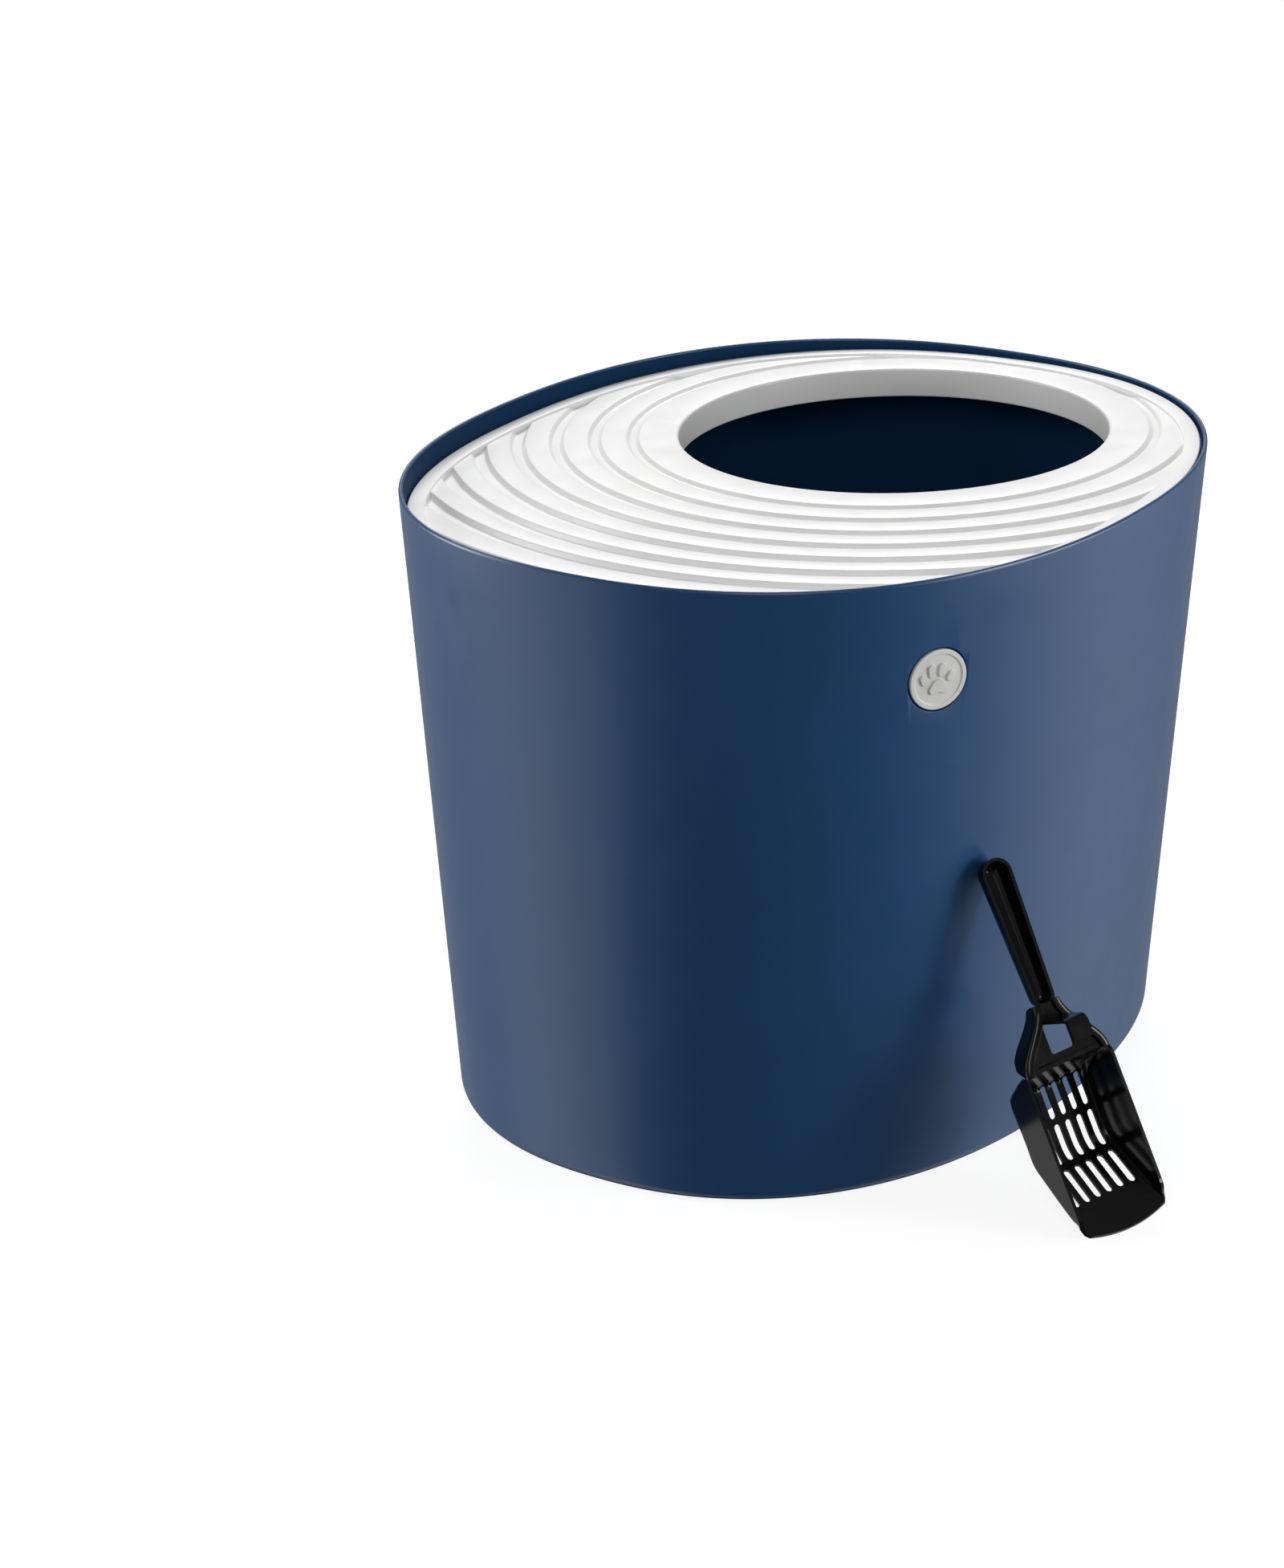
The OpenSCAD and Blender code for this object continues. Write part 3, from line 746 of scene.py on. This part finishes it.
scoop = {
    "place": [-142.729, -290.138, 2.345],
    "turn": -34.1,
    "lean": 24.8,
    "roll": 11.3,
    "thick": 2,
    "length": 219.8,
    "panWidth": 57.4,
    "panLength": 102,
    "panDepth": 36,
    "rampLength": 46,
    "backFoot": 86.7,
    "sideTaper": 2.07,
    "backRadius": 8,
    "lipBow": 6.3,
    "slotPitch": 7.5,
    "slotWidth": 4,
    "slotEdges": [-21.5, -15, -7.5, 0, 7.5, 15, 21.5],
    "slotRows": [[20.1, 18.8], [42.2, 21.1], [66.6, 19.6]],
    "slotRowEdges": [18.45, 40.55, 64.95, 87.9],
    "neckWidth": 13.8,
    "neckPlace": 131.6,
    "neckDepth": 11,
    "handleWidth": 18.4,
    "handleDepth": 14,
    "windowWidth": 14.8,
    "windowStart": 106,
    "windowLength": 17.5,
    "hookReach": 30.2,
    "hookWidth": 12.4,
    "hookFlap": 11,
    "hookBend": 6,
    "flangeStart": 98,
    "flangeEnd": 134.6,
    "flangeDepth": 15,
    "bandWidth": 2.2,
    "bandStart": 1,
    "plateRecess": 0.4,
    "footClear": 0.3,
    "footReach": 12,  # height of the zone at the foot that is drawn up to clear the floor
    "weldStep": 0.01,
    "mergeReach": 0.05,
    "edgeBevel": 0.35,
    "bevelAngle": 50,
    "sharpAngle": 40,
    "lipCorner": [[1.5, 0], [0.5, 0.5], [0, 1.7]],  # inset from the pan's side and distance along it
    "troughBlend": 4,
    "wallFade": [0.2, 8],  # from the first depth to the second a column turns from floor to wall
    "panFillet": 4.0,
    "filletShare": 0.9,
    "rowBias": 0.8,
    "tileAcross": 6,
    "tileAlong": 12,
    "slotRings": [0, 0.4, 0.75, 1],
    "shoulderInset": 3,
    "flangeRise": [-2, 1, 6, 12],  # places along the flange from the pan's end, and from the neck
    "flangeFall": [1, 4],
    "flangeLeast": 1.5,
    "flangeSteps": [4, 1],
    "bandSection": [0.5, 0.3, 0.5, 0.15],  # lap under the plate, inner slope, outer round, its small facet
    "plateStart": 1.5,
    "plateInset": 1.2,
    "windowCorner": 1.6,
    "handleSquareness": 2.8,
}
lipRadius = ((scoop["panWidth"] / 2) ** 2 + scoop["lipBow"] ** 2) / (2 * scoop["lipBow"])
scoopTurn = (turnAbout("Z", scoop["turn"]) @ turnAbout("X", -scoop["lean"])
             @ turnAbout("Y", -scoop["roll"]) @ turnAbout("X", 90))


def lipLine(x):
    # Bow of the lip, an arc of a circle: R - sqrt(R^2 - x^2).
    return lipRadius - np.sqrt(lipRadius ** 2 - x ** 2)


def softMax(a, b, k):
    # The greater of two, rounded in the same way.
    return -softMin(-a, -b, k)


def troughLevel(x, y):
    # Height of the pan's inner floor: a ramp ruled from the bowed lip, a flat bottom and the
    # back wall, blended where they meet.
    lip = lipLine(x)
    ramp = -scoop["panDepth"] * (y - lip) / (scoop["rampLength"] - lip)
    back = (y - scoop["panLength"]) * scoop["panDepth"] / (scoop["panLength"] - scoop["backFoot"])
    blend = scoop["troughBlend"]
    return softMax(softMax(ramp, np.full(x.shape, -float(scoop["panDepth"])), blend), back, blend)


def onTrough(flat):
    # Points of the plane with the trough's level as their height.
    return np.concatenate([flat, troughLevel(flat[..., 0], flat[..., 1])[..., None]], -1)


def slotTile(left, right, low, high, centreX, start, long):
    # Floor between a rectangle and the slot in it: rings that run from the rectangle to the
    # slot's outline, a bar with round ends.
    across, along = scoop["tileAcross"], scoop["tileAlong"]
    u, v = np.linspace(0, 1, across + 1), np.linspace(0, 1, along + 1)
    edge = np.concatenate([
        np.column_stack([left + (right - left) * u[:-1], np.full(across, low)]),
        np.column_stack([np.full(along, right), low + (high - low) * v[:-1]]),
        np.column_stack([right + (left - right) * u[:-1], np.full(across, high)]),
        np.column_stack([np.full(along, left), high + (low - high) * v[:-1]])])
    radius = scoop["slotWidth"] / 2
    middle = np.column_stack([np.full(len(edge), centreX),
                              np.clip(edge[:, 1], start + radius, start + long - radius)])
    slot = middle + radius * (edge - middle) / np.linalg.norm(edge - middle, axis=1)[:, None]
    share = np.array(scoop["slotRings"])[:, None, None]
    grid = onTrough(edge[None] + (slot - edge)[None] * share)
    return grid.reshape(-1, 3), gridQuads(len(share), len(edge)).tolist()


def equalSteps(marks, count):
    # Each stretch between two marks in equal steps, without the last mark.
    return np.concatenate([np.linspace(a, b, count + 1)[:-1] for a, b in zip(marks[:-1], marks[1:])])


def slottedEdge():
    # Outline of the whole slotted area, through the same points as the tiles along it.
    columns, rows = scoop["slotEdges"], scoop["slotRowEdges"]
    xs, ys = equalSteps(columns, scoop["tileAcross"]), equalSteps(rows, scoop["tileAlong"])
    x0, x1, y0, y1 = columns[0], columns[-1], rows[0], rows[-1]
    return np.concatenate([
        np.column_stack([xs, np.full(len(xs), y0)]),
        np.column_stack([np.full(len(ys), x1), ys]),
        np.column_stack([-xs, np.full(len(xs), y1)]),
        np.column_stack([np.full(len(ys), x0), y1 + y0 - ys])]), len(xs), len(ys)


def panWalls():
    # Grid from the rim to the slotted area. Beside the ramp and the bottom a column goes down
    # the wall, round a fillet and along the floor; at the lip and the back it follows the trough.
    inner, frontCount, sideCount = slottedEdge()
    half = scoop["panWidth"] / 2 - scoop["thick"]
    back, radius = scoop["panLength"], scoop["backRadius"]
    total = len(inner)
    inset, along = np.array(scoop["lipCorner"]).T
    lipX = np.linspace(-1, 1, frontCount + 1) * (half - inset[0])
    front = np.column_stack([lipX, lipLine(lipX)])
    arc = np.radians(np.linspace(0, 90, 17))
    corner = np.column_stack([half - radius + radius * np.cos(arc), back - radius + radius * np.sin(arc)])
    sideLine = np.concatenate([np.column_stack([half - inset, front[-1, 1] + along]), corner])
    step = np.concatenate([[0], np.cumsum(np.linalg.norm(np.diff(sideLine, axis=0), axis=1))])
    at = np.linspace(0, step[-1], sideCount + 1)
    side = np.column_stack([np.interp(at, step, line) for line in sideLine.T])
    backX = np.linspace(half - radius, radius - half, frontCount + 1)
    rear = np.column_stack([backX, np.full(frontCount + 1, float(back))])
    outline = np.concatenate([front[:-1], side[:-1], rear[:-1], (side * [-1, 1])[::-1][:-1]])

    deep = -troughLevel(outline[:, 0], outline[:, 1])
    isSide = np.zeros(total)
    isSide[frontCount:frontCount + sideCount] = 1
    isSide[2 * frontCount + sideCount:] = 1
    wallShare = isSide * smoothStep(deep, *scoop["wallFade"])

    taper = (scoop["sideTaper"] * deep / scoop["panDepth"])[:, None]
    foot = onTrough(outline - np.sign(outline[:, :1]) * taper * [1, 0])
    rim = np.column_stack([outline, np.zeros(total)])
    goal = onTrough(inner)
    wallLeg = np.linalg.norm(foot - rim, axis=1)
    floorLeg = np.linalg.norm(goal - foot, axis=1)
    cut = np.minimum(np.minimum(wallLeg, floorLeg) * scoop["filletShare"], scoop["panFillet"])
    a = foot + (rim - foot) * (cut / np.maximum(wallLeg, 1e-6))[:, None]
    b = foot + (goal - foot) * (cut / np.maximum(floorLeg, 1e-6))[:, None]
    down = np.linspace(0, 1, 10)[:, None, None]
    bend = np.linspace(0, 1, 9)[1:, None, None]
    wallPart = rim[None] + (a - rim)[None] * down
    bendPart = (1 - bend) ** 2 * a[None] + 2 * bend * (1 - bend) * foot[None] + bend ** 2 * b[None]
    floorPart = b[None] + (goal - b)[None] * np.array([0.5, 1.0])[:, None, None]
    wallRows = np.concatenate([wallPart, bendPart, floorPart])
    rows = len(wallRows)
    t = np.linspace(0, 1, rows)[:, None, None] ** scoop["rowBias"]
    sheet = onTrough(outline[None] + (inner - outline)[None] * t)
    mixed = sheet + (wallRows - sheet) * wallShare[None, :, None]
    return mixed.reshape(-1, 3), gridQuads(rows, total).tolist()


def buildPan():
    # The walls, and a tile for each slot in its rows.
    parts = [panWalls()]
    columns, rows = scoop["slotEdges"], scoop["slotRowEdges"]
    middle = (len(columns) - 2) / 2
    for (start, long), low, high in zip(scoop["slotRows"], rows[:-1], rows[1:]):
        for k, (left, right) in enumerate(zip(columns[:-1], columns[1:])):
            centreX = (k - middle) * scoop["slotPitch"]
            parts.append(slotTile(left, right, low, high, centreX, start, long))
    points, faces = joinParts(parts)
    return weld(points, np.array(faces), scoop["weldStep"])


def shoulderHalf(y):
    # Half width of the shoulders: wide at the pan, narrow at the neck, half a cosine between.
    t = np.clip((y - scoop["flangeStart"]) / (scoop["flangeEnd"] - scoop["flangeStart"]), 0, 1)
    narrow, wide = scoop["neckWidth"] / 2, scoop["panWidth"] / 2 - scoop["shoulderInset"]
    return narrow + (wide - narrow) * (1 + np.cos(math.pi * t)) / 2


def flangeReach(y):
    # Depth of the flange beside the neck along its length.
    deep, least = scoop["flangeDepth"], scoop["flangeLeast"]
    startStep, endStep = scoop["flangeSteps"]
    places = [scoop["panLength"] + a for a in scoop["flangeRise"]]
    places += [scoop["neckPlace"] + a for a in scoop["flangeFall"]]
    return np.interp(y, places, [least, deep - startStep, deep, deep, scoop["neckDepth"] - endStep, least])


def shoulderStrip(side):
    # Raised band along the shoulder's edge with its flange: a section of [inset, height] at each
    # place along the edge.
    y = np.linspace(scoop["flangeStart"] + scoop["bandStart"], scoop["flangeEnd"], 44)
    reach = flangeReach(y)
    lap, slope, bend, facet = scoop["bandSection"]
    band, low = scoop["bandWidth"], -scoop["plateRecess"] - slope
    inset = np.array([band + lap, band, band - slope, bend, facet, 0, 0, 0, 0, 0])
    share = np.array([0, 0, 0, 0, 0, 0, 0.25, 0.5, 0.75, 1.0])
    fixed = np.array([low, low, 0, 0, -facet, -bend, -bend, -bend, -bend, -bend])
    z = fixed[None] - share[None] * (reach[:, None] - bend)
    x = side * (shoulderHalf(y)[:, None] - inset[None])
    grid = np.stack(np.broadcast_arrays(x, y[:, None], z), -1)
    quads = gridQuads(len(y), len(inset), closed=False)
    if side > 0:
        quads = quads[:, ::-1]
    return grid.reshape(-1, 3), quads.tolist()


def shoulderPlate():
    # Plate from the window's rounded outline to the shoulders' edge: straight lines between two
    # loops with the same number of points.
    width, start, long = scoop["windowWidth"] / 2, scoop["windowStart"], scoop["windowLength"]
    centreY = start + long / 2
    low, high = scoop["flangeStart"] + scoop["plateStart"], scoop["flangeEnd"]
    ys = np.linspace(low, high, 25)
    right = np.column_stack([shoulderHalf(ys) - scoop["plateInset"], ys])
    topX = np.linspace(right[-1, 0], -right[-1, 0], 9)
    topLine = np.column_stack([topX, np.full(9, high)])
    lowX = np.linspace(-right[0, 0], right[0, 0], 17)
    lowLine = np.column_stack([lowX, np.full(17, low)])
    left = (right * [-1, 1])[::-1]
    outer = np.concatenate([right[:-1], topLine[:-1], left[:-1], lowLine[:-1]])
    direction = outer - [0, centreY]
    stretch = np.maximum(np.abs(direction[:, 0]) / width, np.abs(direction[:, 1]) / (long / 2))
    square = direction / stretch[:, None]
    corner = scoop["windowCorner"]
    core = np.clip(square, [corner - width, corner - long / 2], [width - corner, long / 2 - corner])
    away = square - core
    hole = core + corner * away / np.maximum(np.linalg.norm(away, axis=1), 1e-6)[:, None]
    hole = hole + [0, centreY]
    t = np.linspace(0, 1, 6)[:, None, None]
    flat = outer[None] + (hole - outer)[None] * t
    grid = np.concatenate([flat, np.full(flat.shape[:2] + (1,), -scoop["plateRecess"])], -1)
    return grid.reshape(-1, 3), gridQuads(6, len(outer)).tolist()


def hookStrap():
    # Strap carried along a path with one bend, in the plane across the scoop.
    far = scoop["windowStart"] + scoop["windowLength"] + scoop["thick"]
    reach, half = scoop["hookReach"], scoop["thick"] / 2
    path = roundedPath([[far, -half], [far, reach], [far - scoop["hookFlap"] - scoop["thick"], reach]],
                       [0, scoop["hookBend"] + half, 0], 8)
    path = np.concatenate([np.linspace(path[0], path[1], 8)[:-1], path[1:]])
    x = np.linspace(-scoop["hookWidth"] / 2, scoop["hookWidth"] / 2, 7)
    grid = np.stack(np.broadcast_arrays(x[None], path[:, :1], path[:, 1:]), -1)
    return grid.reshape(-1, 3), gridQuads(len(path), len(x), closed=False)[:, ::-1].tolist()


def handleChannel():
    # Open channel: its outline is two arcs joined by straight sides, and a column runs from the
    # outline to the middle line as c + (p - c) cos(b)^(2/m), with depth sin(b)^(2/m).
    thick, power = scoop["thick"], 2 / scoop["handleSquareness"]
    endCount, neckCount, sideCount = 41, 33, 29
    endRadius = scoop["handleWidth"] / 2 - thick
    neckRadius = scoop["neckWidth"] / 2 - thick
    endY = scoop["length"] - scoop["handleWidth"] / 2
    neckY = scoop["neckPlace"] + scoop["neckWidth"] / 2
    lean = math.asin((endRadius - neckRadius) / (endY - neckY))
    endArc = np.linspace(-lean, math.pi + lean, endCount)
    neckArc = np.linspace(math.pi + lean, 2 * math.pi - lean, neckCount)
    t = np.linspace(0, 1, sideCount + 2)[1:-1]

    def outline(end, neck):
        # A value round the end, on to the neck, round it and back to the end.
        return np.concatenate([np.full(endCount, end), end + (neck - end) * t,
                               np.full(neckCount, neck), neck + (end - neck) * t])

    centre, radius = outline(endY, neckY), outline(endRadius, neckRadius)
    angle = np.concatenate([endArc, np.full(sideCount, math.pi + lean), neckArc, np.full(sideCount, -lean)])
    middle = np.column_stack([0 * centre, centre])
    away = np.column_stack([radius * np.cos(angle), radius * np.sin(angle)])
    along = (centre - neckY) / (endY - neckY)
    deep = scoop["neckDepth"] + (scoop["handleDepth"] - scoop["neckDepth"]) * along - thick
    b = np.radians(np.linspace(0, 90, 15))
    flat = middle[None] + away[None] * (np.cos(b) ** power)[:, None, None]
    z = -deep[None] * (np.sin(b) ** power)[:, None]
    grid = np.concatenate([flat, z[..., None]], -1)
    return weld(grid.reshape(-1, 3), gridQuads(len(b), len(centre)), scoop["weldStep"])


def buildScoop():
    # All the surfaces above in one mesh, with a wall's thickness, and turned into place. Points that
    # all but meet become one, and the foot is drawn up by a share that falls to nothing above it.
    points, faces = joinParts([buildPan(), shoulderStrip(1), shoulderStrip(-1), shoulderPlate(),
                               hookStrap(), handleChannel()])
    world = points @ scoopTurn.T + np.array(scoop["place"])
    tool = makeObject("slottedScoop", world, faces, blackPlastic)
    wall = tool.modifiers.new("wall", "SOLIDIFY")
    wall.thickness = scoop["thick"] * millimetre
    wall.offset = -1
    edge = tool.modifiers.new("edge", "BEVEL")
    edge.width = scoop["edgeBevel"] * millimetre
    edge.segments = 2
    edge.limit_method = "ANGLE"
    edge.angle_limit = math.radians(scoop["bevelAngle"])
    bakeModifiers(tool)
    joined = bmesh.new()
    joined.from_mesh(tool.data)
    bmesh.ops.remove_doubles(joined, verts=joined.verts, dist=scoop["mergeReach"] * millimetre)
    joined.to_mesh(tool.data)
    joined.free()
    spots = np.empty(3 * len(tool.data.vertices))
    tool.data.vertices.foreach_get("co", spots)
    low = spots[2::3].min()
    share = np.clip(1 - (spots[2::3] - low) / (scoop["footReach"] * millimetre), 0, 1)
    spots[2::3] += (scoop["footClear"] * millimetre - low) * share
    tool.data.vertices.foreach_set("co", spots)
    smoothFaces(tool, scoop["sharpAngle"])
    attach(tool, "scoop")
    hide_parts("scoop")
    print("scoop made", len(tool.data.polygons))


buildScoop()


studio = {
    "floorHalf": 12.0,
    "floorGlow": 0.86,
    "glowNear": 0.35,
    "glowFar": 0.75,
    "floorColour": (0.25, 0.25, 0.25),
    "horizonBand": 0.02,
    "skyFill": 0.18,
    # light that comes up from the pale floor: [direction round the object in degrees, brightness]
    "floorLight": [[-180, 0.03], [-92, 0.05], [-72, 0.30], [-50, 0.85], [-28, 0.85], [-14, 0.4], [0, 0.3],
                   [80, 0.35], [97, 0.45], [112, 0.85], [124, 1.3], [143, 1.35], [156, 0.3], [166, 0.04]],
    "lamps": {
        "backLamp": [(1.5, 0.9, 2.0), (0, 0, 0.35), 1.4, 1.2, 50],
        "leftLamp": [(-0.96, 1.80, 0.85), (0, 0, 0.25), 0.9, 1.2, 18],
        "lowLeftLamp": [(-0.80, 1.90, 0.20), (0, 0, 0.2), 0.9, 0.3, 10],
        "rightLamp": [(0.45, -2.02, 0.80), (0, 0, 0.25), 0.4, 0.9, 12],
        "lowRightLamp": [(0.60, -1.93, 0.22), (0, 0, 0.2), 2.0, 0.35, 19],
        "frontLamp": [(-1.9, -1.15, 1.6), (0, 0, 0.25), 1.2, 1.2, 14],
    },
}


def buildFloor():
    # The floor only shows to the camera. Its glow rises with the distance, and what it adds of
    # its own is plain, so that it keeps the object's shadow.
    half = studio["floorHalf"]
    mesh = bpy.data.meshes.new("floor")
    corners = [(-half, -half, 0), (half, -half, 0), (half, half, 0), (-half, half, 0)]
    mesh.from_pydata(corners, [], [(0, 1, 2, 3)])
    floor = addObject("floor", mesh)
    floor.visible_diffuse = False
    floor.visible_glossy = False
    floor.visible_shadow = False
    material = bpy.data.materials.new("paleFloor")
    material.use_nodes = True
    tree = material.node_tree
    tree.nodes.clear()
    output = addNode(tree, "OutputMaterial")
    plain = addNode(tree, "BsdfDiffuse", Color=(*studio["floorColour"], 1))
    glow = addNode(tree, "Emission")
    place = addNode(tree, "TexCoord")
    away = addNode(tree, "VectorMath")
    away.operation = "LENGTH"
    rise = addNode(tree, "MapRange", From_Min=studio["glowNear"], From_Max=studio["glowFar"],
                   To_Min=studio["floorGlow"], To_Max=1)
    both = addNode(tree, "AddShader")
    wire(tree, (place, "Object", away, 0), (away, "Value", rise, "Value"),
         (rise, "Result", glow, "Strength"), (plain, "BSDF", both, 0), (glow, "Emission", both, 1),
         (both, "Shader", output, "Surface"))
    material.cycles.emission_sampling = "NONE"
    mesh.materials.append(material)


def buildWorld():
    # White for the camera. Otherwise an even fill from above, and from below the light of a pale
    # floor, brighter to the left and right of the object than in front of it.
    world = bpy.data.worlds.new("studio")
    bpy.context.scene.world = world
    world.use_nodes = True
    tree = world.node_tree
    tree.nodes.clear()
    output = addNode(tree, "OutputWorld")
    place = addNode(tree, "TexCoord")
    compass = addNode(tree, "TexGradient")
    compass.gradient_type = "RADIAL"
    bands = addNode(tree, "ValToRGB")
    levels = studio["floorLight"]
    most = max(level for turn, level in levels)
    while len(bands.color_ramp.elements) < len(levels):
        bands.color_ramp.elements.new(0.5)
    for element, (turn, level) in zip(bands.color_ramp.elements, levels):
        element.position = turn / 360 + 0.5
        element.color = (level / most, level / most, level / most, 1)
    pure = (1, 1, 1, 1)
    below = addNode(tree, "Background", Color=pure, Strength=most)
    above = addNode(tree, "Background", Color=pure, Strength=studio["skyFill"])
    white = addNode(tree, "Background", Color=pure)
    parts = addNode(tree, "SeparateXYZ")
    band = studio["horizonBand"]
    horizon = addNode(tree, "MapRange", From_Min=-band, From_Max=band)
    path = addNode(tree, "LightPath")
    around = addNode(tree, "MixShader")
    choose = addNode(tree, "MixShader")
    wire(tree, (place, "Generated", compass, "Vector"), (place, "Generated", parts, "Vector"),
         (compass, "Fac", bands, "Fac"), (bands, "Color", below, "Color"),
         (parts, "Z", horizon, "Value"), (horizon, "Result", around, "Fac"),
         (below, "Background", around, 1), (above, "Background", around, 2),
         (path, "Is Camera Ray", choose, "Fac"), (around, "Shader", choose, 1),
         (white, "Background", choose, 2), (choose, "Shader", output, "Surface"))


def facing(place, target):
    # Matrix of a thing whose -Z axis points at the target, with +Y upwards. The small X in the
    # upward direction settles its turn where it looks straight down.
    ahead = unitVector(np.subtract(target, place))
    across = unitVector(np.cross(ahead, [0.001, 0, 1]))
    matrix = np.eye(4)
    matrix[:3, :3] = np.column_stack([across, np.cross(across, ahead), -ahead])
    matrix[:3, 3] = place
    return Matrix(matrix.tolist())


def buildLamps():
    # Soft boxes round the object, which the camera doesn't see.
    for name, (place, target, wide, high, power) in studio["lamps"].items():
        lamp = bpy.data.lights.new(name, "AREA")
        lamp.shape = "RECTANGLE"
        lamp.size = wide
        lamp.size_y = high
        lamp.energy = power
        obj = addObject(name, lamp)
        obj.matrix_world = facing(place, target)
        obj.visible_camera = False


view = {
    "place": (-1.8401, -1.0858, 1.0125),
    "ahead": (0.8031, 0.4739, -0.3612),
    "focalPixels": 4721.5,
    "centre": (1011.15, 929.05),
    "picture": (1600, 1954),
    "sensor": 36,
    "clipEnd": 100,
}


def buildCamera():
    # The photograph's own camera: its place, its direction and where its axis meets the picture.
    camera = bpy.data.cameras.new("camera")
    wide, high = view["picture"]
    camera.sensor_width = view["sensor"]
    camera.lens = view["focalPixels"] * view["sensor"] / high
    camera.shift_x = (wide / 2 - view["centre"][0]) / high
    camera.shift_y = (view["centre"][1] - high / 2) / high
    camera.clip_end = view["clipEnd"]
    obj = addObject("camera", camera)
    place = np.array(view["place"])
    obj.matrix_world = facing(place, place + np.array(view["ahead"]))
    bpy.context.scene.camera = obj


buildFloor()
buildWorld()
buildLamps()
buildCamera()
bpy.context.scene.view_settings.view_transform = "Standard"
print("studio made")
